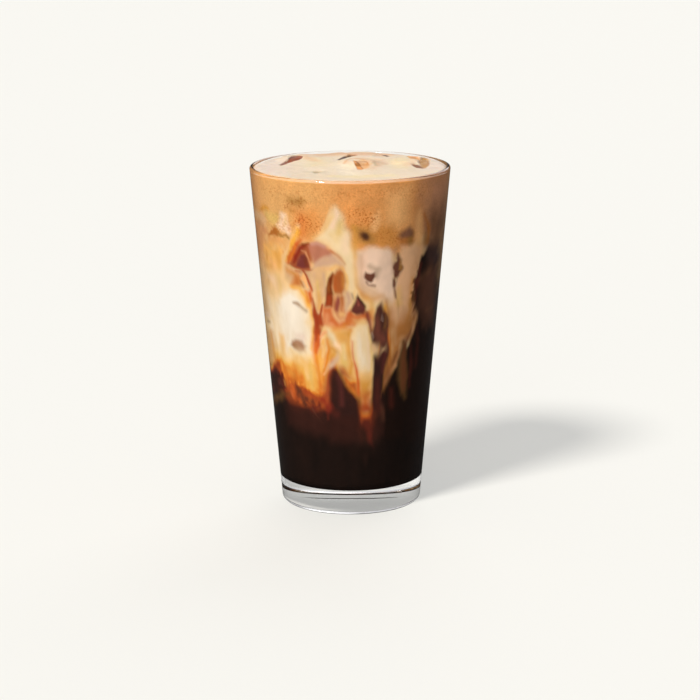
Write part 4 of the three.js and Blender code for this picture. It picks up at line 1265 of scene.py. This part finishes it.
# How far in front foam is looked for that hides the surface, in what steps, and how soft it hides
HIDING_REACH = 16
HIDING_STEP = 1
HIDING_SOFTNESS = 0.4
HIDING_BLUR = {"rings": 2, "columns": 3}
# Share of the radius at the glass where the foam's unevenness fades out
CALM_EDGE = 0.03


def cube_top(x, y, cube, number):
    """Height of a cube's top under the foam's points, just below the foam where there is none."""
    low = np.full(len(x), FOAM_LEVEL - SEARCH_BELOW)
    high = low + SEARCH_HEIGHT
    for _ in range(SEARCH_HALVINGS):
        middle = (low + high) / 2
        inside = inside_cube(np.stack([x, y, middle], -1), cube, number) > 0
        low = np.where(inside, middle, low)
        high = np.where(inside, high, middle)
    return low


def blurred(values, rings, columns):
    """Values on the rows and columns of a turned surface, averaged with their neighbours."""
    beside = np.mean([np.roll(values, i, axis=1) for i in range(-columns, columns + 1)], axis=0)
    padded = np.pad(beside, ((rings, rings), (0, 0)), "edge")
    return np.mean([padded[i:i + len(values)] for i in range(2 * rings + 1)], axis=0)


def hidden_share(x, y, z):
    """How much the foam in front hides the surface from the photograph's side."""
    rings, columns = z.shape
    most = np.zeros(z.shape)
    for nearer in np.arange(HIDING_STEP, HIDING_REACH, HIDING_STEP):
        front = y - nearer
        ring = np.round(np.hypot(x, front) / inner_radius(FOAM_LEVEL) * (rings - 1)).astype(int)
        column = np.round(np.arctan2(x, -front) / (2 * np.pi) * columns).astype(int) % columns
        height = z[np.minimum(ring, rings - 1), column]
        above = height - z - nearer / SIGHT_SLOPE
        most = np.maximum(most, np.where(ring < rings, above, 0))
    return smooth(blurred(most, **HIDING_BLUR) / HIDING_SOFTNESS)


def foam_on_ice(x, y, z):
    """The foam's height where it clings to ice, how far it is lowered where ice lies bare, and
    how much it is hidden from the photograph's side."""
    shape = z.shape
    x, y, z = x.ravel(), y.ravel(), z.ravel()
    over_ice = np.zeros(len(z), bool)
    directions = np.radians(np.arange(CLING_DIRECTIONS) * 360 / CLING_DIRECTIONS)
    for number, cube in enumerate(ICE):
        reach = CUBE_REACH * max(cube["half"]) + max(CLING_RADII)
        near = np.nonzero(np.hypot(x - cube["at"][0], y - cube["at"][1]) < reach)[0]
        highest = highest_ice(number)
        u, v = x[near], y[near]
        top = np.minimum(cube_top(u, v, cube, number), highest)
        around = [cube_top(u + r * math.cos(a), v + r * math.sin(a), cube, number)
                  for r in CLING_RADII for a in directions]
        drape = np.minimum(np.mean(around, axis=0), highest) - (FOAM_LEVEL - SEARCH_BELOW)
        covered = top > FOAM_LEVEL - COVERED_DEPTH
        cling = np.maximum(z[near] + drape * CLING_SHARE, np.where(covered, top + SKIN, 0))
        z[near] = np.maximum(z[near], np.minimum(cling, highest + ICE_BELOW_TOP - BELOW_SOLID))
        over_ice[near] |= covered
    z = np.minimum(z, FOAM_HIGHEST)
    hidden = hidden_share(x.reshape(shape), y.reshape(shape), z.reshape(shape)).ravel()
    bare = Canvas(x, sight_y(y, z), np.zeros(len(z))).most_covered(BARE_ICE)
    lowered = bare * (1 - hidden) * np.where(over_ice, POCKET_DEPTH, GROOVE_DEPTH)
    return z - lowered, lowered, hidden


def foam_top(turn, share):
    """Height of the foam's surface."""
    r = share * inner_radius(FOAM_LEVEL)
    x = r * np.sin(np.radians(turn))
    y = -r * np.cos(np.radians(turn))
    z = FOAM_LEVEL + FOAM_DOME * (1 - share**2) + FOAM_BULGE * (1 - share**FOAM_BULGE_POWER)
    for lump in FOAM_LUMPS:
        off = (x - lump["x"]) ** 2 + (y - lump["y"]) ** 2
        z = z + lump["rise"] * np.exp(-off / lump["radius"] ** 2)
    return x, y, z


# Pieces of the drink


def wall_radius(z):
    return inner_radius(z) + INTO_WALL


def wall_rows(upper, lower, count):
    """Heights of the rows at the wall between a layer's two edges."""
    share = np.linspace(0, 1, count + 1)[1:-1, None]
    return upper + (lower - upper) * share


def boundary_rows(edge, waves, turn):
    """Radius and height of a boundary between layers, from the axis to the wall."""
    shares = np.linspace(0, 1, FACE_RINGS + 1)[:, None]
    height = boundary_height(edge, waves, turn[None, :], shares)
    radius = shares * wall_radius(height[-1:])
    return radius, height


def foam_profile(turn):
    """Radius and height of the foam's rows, and how far its top's points are lowered and hidden."""
    shares = np.linspace(0, 1, TOP_RINGS + 1)[:, None]
    x, y, z = foam_top(turn[None, :], shares)
    top_r = shares * wall_radius(FOAM_LEVEL) * np.ones_like(z)
    calm = smooth((1 - shares) / CALM_EDGE)
    draped, *marks = foam_on_ice(x, y, z + top_noise(TOP_NOISE, x, y) * calm)
    z = z + (draped.reshape(z.shape) - z) * calm
    marks = [mark.reshape(z.shape)[:-1] * calm[:-1] for mark in marks]
    under_r, under_z = boundary_rows(FOAM_EDGE, FOAM_WAVES, turn)
    wall_z = wall_rows(z[-1:], under_z[-1:], FOAM_ROWS)
    radius = np.vstack([top_r, wall_radius(wall_z), under_r[::-1]])
    height = np.vstack([z, wall_z, under_z[::-1]])
    return radius, height, [np.append(mark[0, 0], mark[1:]) for mark in marks]


def milk_profile(turn):
    over_r, over_z = boundary_rows(FOAM_EDGE, FOAM_WAVES, turn)
    under_r, under_z = boundary_rows(MILK_EDGE, MILK_WAVES, turn)
    wall_z = wall_rows(over_z[-1:], under_z[-1:], MILK_ROWS)
    radius = np.vstack([over_r, wall_radius(wall_z), under_r[::-1]])
    height = np.vstack([over_z, wall_z, under_z[::-1]])
    return radius, height


def espresso_profile(turn):
    over_r, over_z = boundary_rows(MILK_EDGE, MILK_WAVES, turn)
    foot = np.array(inner_corner(-INTO_WALL, FLOOR_CORNER_STEPS))
    wall_z = wall_rows(over_z[-1:], foot[0, 1], ESPRESSO_ROWS)
    ones = np.ones((1, len(turn)))
    radius = np.vstack([over_r, wall_radius(wall_z), foot[:, :1] * ones, 0 * ones])
    height = np.vstack([over_z, wall_z, foot[:, 1:] * ones, foot[-1, 1] * ones])
    return radius, height


def set_paint(piece, points, marks=()):
    """Stores the wall's paint on a piece, and the surface's on its first points."""
    canvas = paint_wall(points)
    if marks:
        paint_top(points, canvas, *marks)
    set_values(piece, "level", canvas.level)
    set_colours(piece, "tint", canvas.tint)
    set_values(piece, "cover", canvas.cover)
    set_values(piece, "speckle", paint_speckle(points))


def drink_piece(name, profile, wall_first, wall_last, materials, marks=()):
    """A layer of the drink, painted, whose rows from wall_first to wall_last lie at the wall."""
    radius, height = profile
    points = turned_points(radius, height)
    piece = mesh_object(name, points, turned_faces(*radius.shape))
    for material in materials:
        piece.data.materials.append(material)
    set_faces(piece, range(len(piece.data.polygons)), False, 0)
    set_faces(piece, face_rows(COLUMNS, wall_first, wall_last), True, 0)
    set_paint(piece, points, marks)
    return piece


def top_tint(x, y, hidden):
    """What is painted on the foam's surface: its soft tones, and the edges of bare ice."""
    aside = top_noise(TOP_WARP_ASIDE, x, y)
    up = top_noise(TOP_WARP_UP, x, y)
    canvas = Canvas(x + aside, y + up, np.ones(len(x)))
    canvas.tint[:] = linear(PAINTS["top cream"])
    canvas.paint_all(TOP_STROKES)
    marked = Canvas(x, y, np.ones(len(x)))
    marked.tint = canvas.tint.copy()
    marked.paint_all([*BARE_ICE, *FACETS])
    return marked.tint + (canvas.tint - marked.tint) * hidden[:, None]


def paint_top(points, canvas, lowered, hidden):
    """Paints the foam's surface, as it is before it is lowered over bare ice."""
    count = len(lowered)
    x, y, z = points[:count].T
    canvas.tint[:count] = top_tint(x, sight_y(y, z + lowered), hidden)
    canvas.cover[:count] = 1


def make_foam(turn):
    side = drink_material("foam_side", wisps=0.04, bubbles=True)
    top = foam_top_material()
    wall_last = TOP_RINGS + FOAM_ROWS
    *profile, marks = foam_profile(turn)
    piece = drink_piece("foam_layer", profile, TOP_RINGS, wall_last, [side, top], marks)
    set_faces(piece, face_rows(COLUMNS, 0, TOP_RINGS), True, 1)
    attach(piece, "root")
    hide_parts("foam")
    return piece


def make_milk(turn):
    material = drink_material("milk_marbling", wisps=0.1)
    wall_last = FACE_RINGS + MILK_ROWS
    piece = drink_piece("milk_layer", milk_profile(turn), FACE_RINGS, wall_last, [material])
    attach(piece, "root")
    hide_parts("milk")
    return piece


def make_espresso(turn):
    profile = espresso_profile(turn)
    material = drink_material("dark_coffee", wisps=0.035)
    rows = profile[0].shape[0]
    piece = drink_piece("espresso_layer", profile, FACE_RINGS, rows - 1, [material])
    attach(piece, "root")
    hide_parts("espresso")
    return piece


# Ice


def cube_mesh(cuts):
    """Points of a fine cube, from -1 to 1, and its faces."""
    shape = bmesh.new()
    bmesh.ops.create_cube(shape, size=2)
    bmesh.ops.subdivide_edges(shape, edges=shape.edges[:], cuts=cuts, use_grid_fill=True)
    unit = np.array([vertex.co[:] for vertex in shape.verts])
    faces = [[vertex.index for vertex in face.verts] for face in shape.faces]
    shape.free()
    return unit, faces


def make_ice(number, cube, material):
    """A melting cube with rounded corners, in the place of its solid."""
    unit, faces = cube_mesh(ICE_CUTS)
    local = unit * np.array(cube["half"]) * cube_size(unit, number)[:, None]
    along, across = np.transpose(unit @ np.transpose(ICE_DENT_WAVES))
    dents = np.sin(along + number) * np.sin(across)
    local *= (1 + ICE_DENT * dents)[:, None]
    points = local @ cube_turn(cube).T + np.array(cube["at"])
    highest = highest_ice(number)
    flat = highest + ICE_TOP_ROUNDING * np.tanh(points[:, 2] - highest)
    points[:, 2] = np.minimum(points[:, 2], flat)
    piece = mesh_object(f"ice_cube_{number + 1}", points, faces)
    # Painted shade: each cube's tint is darkened on the sides that face away from the light
    away = unit / np.abs(unit).max(-1, keepdims=True)
    facing_light = (away**ICE_FACE_SHARPNESS @ cube_turn(cube).T) @ np.array(ICE_PAINTED_LIGHT_SIDE)
    light = ICE_DARKEST_PAINTED_SHADE + (1 - ICE_DARKEST_PAINTED_SHADE) * smooth(0.5 + ICE_PAINTED_SHADE_CONTRAST * facing_light)
    bare = Canvas(points[:, 0], sight_y(points[:, 1], points[:, 2]), np.ones(len(points)))
    bare.tint[:] = linear(PAINTS[cube["colour"]])
    bare.paint_all([*BARE_ICE, *FACETS])
    set_colours(piece, "tint", bare.tint * light[:, None])
    set_faces(piece, range(len(faces)), True, 0)
    piece.data.materials.append(material)
    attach(piece, "root")
    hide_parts(f"ice_{number + 1}")
    return piece


# Sunk cubes that touch the glass with a corner, where a dark window shows in the milk: the
# corner's angle and height, how wide its window is, and the cube's turn about its own diagonal
SUNK_ICE = [
    {"turn": -52, "z": 127, "window": 3, "spin": 0},
    {"turn": -40, "z": 76.4, "window": 3.2, "spin": 50},
    {"turn": -31.4, "z": 115.4, "window": 3.1, "spin": 5},
    {"turn": 5.4, "z": 95.6, "window": 3.2, "spin": 0},
    {"turn": 12.2, "z": 109.3, "window": 2.9, "spin": 60},
    {"turn": 21.4, "z": 87, "window": 4.2, "spin": 40},
    {"turn": 31, "z": 112, "window": 2.6, "spin": 20},
    {"turn": 37.6, "z": 127.4, "window": 3.1, "spin": 30},
]
SUNK_HALF = 7
SUNK_CUTS = 26
SUNK_SHARPNESS = 12
# How much closer the points lie towards the corner at the glass
SUNK_CROWDING = 1.8
# How far the cube's corner, flat against the glass, stands out of the milk round it
SUNK_PROUD = 0.03


def sunk_cube(cube, side, unit):
    """Points of one sunk cube, on the front or, with a side of 180, on the back."""
    angle = math.radians(cube["turn"] + side)
    outward = Vector((math.sin(angle), -math.cos(angle), 0))
    diagonal = Vector((1, 1, 1))
    upright = diagonal.rotation_difference(outward)
    spin = Matrix.Rotation(math.radians(cube["spin"] + side), 3, outward)
    turned = np.array(spin @ upright.to_matrix())
    crowded = 1 - 2 * ((1 - unit) / 2) ** SUNK_CROWDING
    rounding = (np.abs(crowded) ** SUNK_SHARPNESS).sum(-1) ** (-1 / SUNK_SHARPNESS)
    largest = np.abs(crowded).max(-1)
    local = crowded * (rounding * largest)[:, None] * SUNK_HALF
    reach = cube["window"] / math.sqrt(2)
    middle = inner_radius(cube["z"]) + reach - SUNK_HALF * math.sqrt(3)
    points = local @ turned.T + np.array(outward) * middle
    points[:, 2] += cube["z"]
    radius = np.hypot(points[:, 0], points[:, 1])
    limit = wall_radius(points[:, 2]) + SUNK_PROUD
    points[:, :2] *= np.minimum(1, limit / np.maximum(radius, TINY))[:, None]
    return points


def make_sunk_ice():
    """All the cubes sunk in the drink, joined, with the wall's paint where they touch it."""
    unit, faces = cube_mesh(SUNK_CUTS)
    cubes = [sunk_cube(cube, side, unit) for side in (0, BACK_TURN) for cube in SUNK_ICE]
    points = np.vstack(cubes)
    every = np.array(faces)
    joined = np.vstack([every + len(unit) * i for i in range(len(cubes))])
    piece = mesh_object("sunk_ice", points, joined.tolist())
    set_faces(piece, range(len(joined)), True, 0)
    set_paint(piece, points)
    piece.data.materials.append(drink_material("sunk_ice_window", wisps=0.06))
    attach(piece, "root")
    return piece


# Glass


def glass_profile():
    share = np.linspace(0, 1, GLASS_CORNER_STEPS + 1)[1:]
    punt = [(0, PUNT_DEPTH)] + [(PUNT_RADIUS * s, PUNT_DEPTH * (1 - s * s)) for s in share]
    heel_r = outer_radius(HEEL_ROUNDING) - HEEL_ROUNDING
    heel = corner(heel_r, HEEL_ROUNDING, HEEL_ROUNDING, -90, 0, GLASS_CORNER_STEPS)
    lip = RIM_WALL / 2
    lip_z = GLASS_HEIGHT - lip
    rim = corner(outer_radius(lip_z) - lip, lip_z, lip, 0, 180, 2 * GLASS_CORNER_STEPS)
    inside = inner_corner(0, GLASS_CORNER_STEPS)
    wall = [(outer_radius(z), z) for z in np.linspace(HEEL_ROUNDING, lip_z, GLASS_WALL_ROWS)[1:-1]]
    inner_z = np.linspace(rim[-1][1], inside[0][1], GLASS_WALL_ROWS)[1:-1]
    inner = [(inner_radius(z), z) for z in inner_z]
    return punt + heel + wall + rim + inner + inside + [(0, BASE_THICKNESS)]


def make_glass():
    profile = np.array(glass_profile())[::-1]
    radius = np.repeat(profile[:, :1], GLASS_COLUMNS, axis=1)
    height = np.repeat(profile[:, 1:], GLASS_COLUMNS, axis=1)
    points = turned_points(radius, height)
    faces = turned_faces(*radius.shape)
    piece = mesh_object("pint_glass", points, faces)
    set_faces(piece, range(len(faces)), True, 0)
    piece.data.materials.append(glass_material("clear_glass", GLASS_IOR))
    piece.data.materials.append(glass_material("clear_underside", UNDERSIDE_IOR))
    underside = len(glass_profile()) - GLASS_CORNER_STEPS - 2
    set_faces(piece, face_rows(GLASS_COLUMNS, underside, underside + GLASS_CORNER_STEPS + 1), True, 1)
    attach(piece, "root")
    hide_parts("glass")
    return piece


# Materials


class Nodes:
    """The nodes of a material or of the world, with short ways to add to them."""

    def __init__(self, tree):
        self.tree = tree

    def add(self, kind, inputs=()):
        """A new node whose inputs are set to values or linked to other nodes' outputs."""
        node = self.tree.nodes.new(f"ShaderNode{kind}")
        for name, value in dict(inputs).items():
            self.put(value, node.inputs[name])
        return node

    def put(self, value, socket):
        if isinstance(value, bpy.types.NodeSocket):
            self.tree.links.new(value, socket)
        else:
            socket.default_value = value

    def attribute(self, name, output="Fac"):
        node = self.add("Attribute")
        node.attribute_name = name
        return node.outputs[output]

    def noise(self, scale, detail, roughness=0.55, stretch=(1, 1, 1)):
        """Noise with features so many to the metre, in the object's own space."""
        place = self.add("TexCoord").outputs["Object"]
        stretched = self.add("Mapping", {"Vector": place, "Scale": stretch}).outputs["Vector"]
        values = {"Vector": stretched, "Scale": scale, "Detail": detail, "Roughness": roughness}
        return self.add("TexNoise", values).outputs["Fac"]

    def math(self, operation, first, second, clamp=False):
        node = self.add("Math", {0: first, 1: second})
        node.operation = operation
        node.use_clamp = clamp
        return node.outputs[0]

    def mix(self, blend, factor, first, second):
        """Two colours mixed, each an output or a colour of a screen."""
        node = self.add("Mix")
        node.data_type = "RGBA"
        node.blend_type = blend
        sockets = (node.inputs["Factor"], node.inputs[6], node.inputs[7])
        for value, socket in zip((factor, first, second), sockets):
            self.put((*linear(value), 1) if isinstance(value, tuple) else value, socket)
        return node.outputs[2]

    def swing(self, texture, strength):
        """How far a texture lies from its middle, times a strength."""
        return self.math("MULTIPLY", self.math("SUBTRACT", texture, 0.5), strength)

    def shade(self, colour, swing):
        """A colour made lighter and darker by a swing round 0."""
        return self.mix("MULTIPLY", 1.0, colour, self.math("ADD", swing, 1.0))

    def mirrored(self, rays):
        """1 where a ray is a reflection, not one that passes through the glass."""
        through = rays["Is Transmission Ray"]
        return self.math("SUBTRACT", rays["Is Glossy Ray"], through, clamp=True)

    def show(self, shader):
        self.add("OutputMaterial", {"Surface": shader})


def new_material(name):
    """A node material without nodes, and its nodes."""
    material = bpy.data.materials.new(name)
    material.use_nodes = True
    material.node_tree.nodes.clear()
    return material, Nodes(material.node_tree)


def level_ramp(nodes, level):
    """The colour that a level of milk has."""
    ramp = nodes.add("ValToRGB", {"Fac": level})
    elements = ramp.color_ramp.elements
    while len(elements) > 1:
        elements.remove(elements[-1])
    elements[0].position = LEVEL_COLOURS[0][0]
    elements[0].color = (*linear(LEVEL_COLOURS[0][1]), 1)
    for position, colour in LEVEL_COLOURS[1:]:
        elements.new(position).color = (*linear(colour), 1)
    return ramp.outputs["Color"]


# Features of the noises, so many to the metre
WISP_SCALE = 160
MOTTLE_SCALE = 220
CLOUD_SCALE = 260
BUBBLE_SCALE = 1000
GRAIN_SCALE = 1300
DIMPLE_SCALE = 1400
# The wisps' noise is drawn out down the wall, and changes the light so much more than the milk
WISP_STRETCH = (1, 1, 0.35)
WISP_LIGHT = 1.6
# How strongly noises lighten and darken
FOAM_GRAIN = 0.5
FOAM_MOTTLE = 0.16
ICE_CLOUDS = 1.1
# Where the bubbles' noise is below this share they are dark, this fast, in this colour
BUBBLE_SHARE = 0.49
BUBBLE_CONTRAST = 8
BUBBLE_COLOUR = (196, 140, 92)
DIMPLE_DEPTH = 0.2
DIMPLE_STRENGTH = 0.25
# How far light goes in the foam
FOAM_SCATTER = 1.2


def drink_material(name, wisps, bubbles=False):
    """Milk, coffee or foam behind glass, with wisps finer than the painted strokes."""
    material, nodes = new_material(name)
    swing = nodes.swing(nodes.noise(WISP_SCALE, 5, stretch=WISP_STRETCH), 2 * wisps)
    level = nodes.math("ADD", nodes.attribute("level"), swing)
    bare = nodes.mix("MIX", nodes.attribute("cover"), level_ramp(nodes, level), (0, 0, 0))
    colour = nodes.mix("ADD", 1.0, bare, nodes.attribute("tint", "Color"))
    colour = nodes.shade(colour, nodes.math("MULTIPLY", swing, WISP_LIGHT))
    if bubbles:
        colour = add_bubbles(nodes, colour)
    values = {"Base Color": colour, "Roughness": 0.6, "Specular IOR Level": 0.0}
    nodes.show(nodes.add("BsdfPrincipled", values).outputs["BSDF"])
    return material


def add_bubbles(nodes, colour):
    """Fine dark bubbles in the foam, where the painted speckle allows them."""
    grain = nodes.noise(GRAIN_SCALE, 2, roughness=0.7)
    colour = nodes.shade(colour, nodes.swing(grain, FOAM_GRAIN))
    bubbles = nodes.noise(BUBBLE_SCALE, 2, roughness=0.6)
    dark = nodes.math("SUBTRACT", BUBBLE_SHARE, bubbles)
    dark = nodes.math("MULTIPLY", dark, BUBBLE_CONTRAST, clamp=True)
    dark = nodes.math("MULTIPLY", dark, nodes.attribute("speckle"))
    return nodes.mix("MULTIPLY", dark, colour, BUBBLE_COLOUR)


def foam_top_material():
    """Wet cream foam with fine bubbles."""
    material, nodes = new_material("foam_surface")
    swing = nodes.swing(nodes.noise(MOTTLE_SCALE, 5), FOAM_MOTTLE)
    place = nodes.add("TexCoord").outputs["Object"]
    bubbles = nodes.add("TexVoronoi", {"Vector": place, "Scale": DIMPLE_SCALE}).outputs["Distance"]
    dimples = {"Height": bubbles, "Strength": DIMPLE_STRENGTH, "Distance": DIMPLE_DEPTH * MM}
    values = {
        "Base Color": nodes.shade(nodes.attribute("tint", "Color"), swing),
        "Normal": nodes.add("Bump", dimples).outputs["Normal"],
        "Roughness": 0.42,
        "Specular IOR Level": 0.06,
        "Subsurface Weight": 0.3,
        "Subsurface Radius": (1.0, 0.6, 0.35),
        "Subsurface Scale": FOAM_SCATTER * MM,
    }
    nodes.show(nodes.add("BsdfPrincipled", values).outputs["BSDF"])
    return material


def ice_material():
    """Ice wet with coffee: its tint, which holds painted shade on the sides away from the light, cloudy
    within.
    """
    material, nodes = new_material("coffee_ice")
    swing = nodes.swing(nodes.noise(CLOUD_SCALE, 3), ICE_CLOUDS)
    values = {
        "Base Color": nodes.shade(nodes.attribute("tint", "Color"), swing),
        "Roughness": 0.25,
        "IOR": 1.31,
        "Specular IOR Level": 0.05,
    }
    nodes.show(nodes.add("BsdfPrincipled", values).outputs["BSDF"])
    return material


GLASS_IOR = 1.5
# The underside bends light less, so that the floor shows through the base
UNDERSIDE_IOR = 1.003


def glass_material(name, ior):
    """Clear glass that lets light through to the drink without noise."""
    material, nodes = new_material(name)
    values = {
        "Base Color": (1, 1, 1, 1),
        "Roughness": 0.0,
        "IOR": ior,
        "Transmission Weight": 1.0,
        "Specular IOR Level": 0.3,
    }
    shader = nodes.add("BsdfPrincipled", values).outputs["BSDF"]
    clear = nodes.add("BsdfTransparent").outputs["BSDF"]
    rays = nodes.add("LightPath").outputs
    for kind in ("Is Shadow Ray", "Is Diffuse Ray"):
        shader = nodes.add("MixShader", {0: rays[kind], 1: shader, 2: clear}).outputs[0]
    nodes.show(shader)
    return material


# Room, light and camera

ROOM_COLOUR = (246, 246, 248)
ROOM_STRENGTH = 0.8
ROOM_LIT_DIMMING = 0.5
ROOM_MIRRORED_DIMMING = 0.72
WHITE = (255, 255, 255)
FLOOR_RADIUS_METRES = 6
FLOOR_SEEN = (181, 181, 178)
FLOOR_BOUNCE = (132, 132, 130)
FLOOR_MIRRORED = (34, 34, 34)
FLOOR_GLOW = 0.8
# Soft lights from far off: angle round the glass and above the floor, width of the light, all
# in degrees, and strength. The angle is 0 at the front and positive towards the right
SUNS = [
    {"name": "key", "turn": -40, "above": 46, "width": 13, "strength": 3.3, "colour": (255, 250, 243)},
    {"name": "front_fill", "turn": -8, "above": 15, "width": 50, "strength": 0.75, "colour": WHITE},
    {"name": "back_fill", "turn": 165, "above": 35, "width": 50, "strength": 0.9, "colour": WHITE},
]


def floor_material():
    material, nodes = new_material("pale_floor")
    rays = nodes.add("LightPath").outputs
    colour = nodes.mix("MIX", rays["Is Diffuse Ray"], FLOOR_SEEN, FLOOR_BOUNCE)
    colour = nodes.mix("MIX", nodes.mirrored(rays), colour, FLOOR_MIRRORED)
    values = {
        "Base Color": colour,
        "Emission Color": colour,
        "Emission Strength": FLOOR_GLOW,
        "Roughness": 0.9,
        "Specular IOR Level": 0.1,
    }
    nodes.show(nodes.add("BsdfPrincipled", values).outputs["BSDF"])
    return material


def make_floor():
    shape = bmesh.new()
    bmesh.ops.create_circle(shape, cap_ends=True, segments=64, radius=FLOOR_RADIUS_METRES)
    mesh = bpy.data.meshes.new("floor")
    shape.to_mesh(mesh)
    shape.free()
    piece = add_object("floor", mesh)
    piece.data.materials.append(floor_material())


def make_lights():
    for sun in SUNS:
        lamp = bpy.data.lights.new(sun["name"], "SUN")
        lamp.angle = math.radians(sun["width"])
        lamp.energy = sun["strength"]
        lamp.color = linear(sun["colour"])
        turn = math.radians(sun["turn"])
        above = math.radians(sun["above"])
        level = math.cos(above)
        away = Vector((math.sin(turn) * level, -math.cos(turn) * level, math.sin(above)))
        light = add_object(sun["name"], lamp)
        light.location = away
        light.rotation_euler = away.to_track_quat("Z", "Y").to_euler()


def make_world():
    """A pale room, dimmer where it lights or mirrors in the object than where it is seen."""
    world = bpy.data.worlds.new("studio")
    bpy.context.scene.world = world
    world.use_nodes = True
    nodes = Nodes(world.node_tree)
    rays = nodes.add("LightPath").outputs
    lit = nodes.math("MULTIPLY", rays["Is Diffuse Ray"], -ROOM_LIT_DIMMING)
    mirrored = nodes.math("MULTIPLY", nodes.mirrored(rays), -ROOM_MIRRORED_DIMMING)
    strength = nodes.math("ADD", nodes.math("ADD", mirrored, lit), ROOM_STRENGTH)
    background = world.node_tree.nodes["Background"]
    nodes.put((*linear(ROOM_COLOUR), 1), background.inputs["Color"])
    nodes.put(strength, background.inputs["Strength"])


def make_camera():
    data = bpy.data.cameras.new("camera")
    data.sensor_width = SENSOR_WIDTH
    data.lens = FOCAL_PIXELS / IMAGE_PIXELS * SENSOR_WIDTH
    data.shift_x = -SHIFT_PIXELS / IMAGE_PIXELS
    data.clip_end = CLIP_METRES
    camera = add_object("camera", data)
    place = Matrix.Translation(Vector(CAMERA_AT) * MM)
    tilt = Matrix.Rotation(math.radians(90 - CAMERA_PITCH), 4, "X")
    roll = Matrix.Rotation(math.radians(CAMERA_ROLL), 4, "Z")
    camera.matrix_world = place @ tilt @ roll
    bpy.context.scene.camera = camera


turn = np.arange(COLUMNS) * 360 / COLUMNS
make_glass()
make_foam(turn)
make_milk(turn)
make_espresso(turn)
ice = ice_material()
for number, cube in enumerate(ICE):
    make_ice(number, cube, ice)
make_sunk_ice()
make_floor()
make_lights()
make_world()
make_camera()
bpy.context.scene.view_settings.view_transform = "Standard"
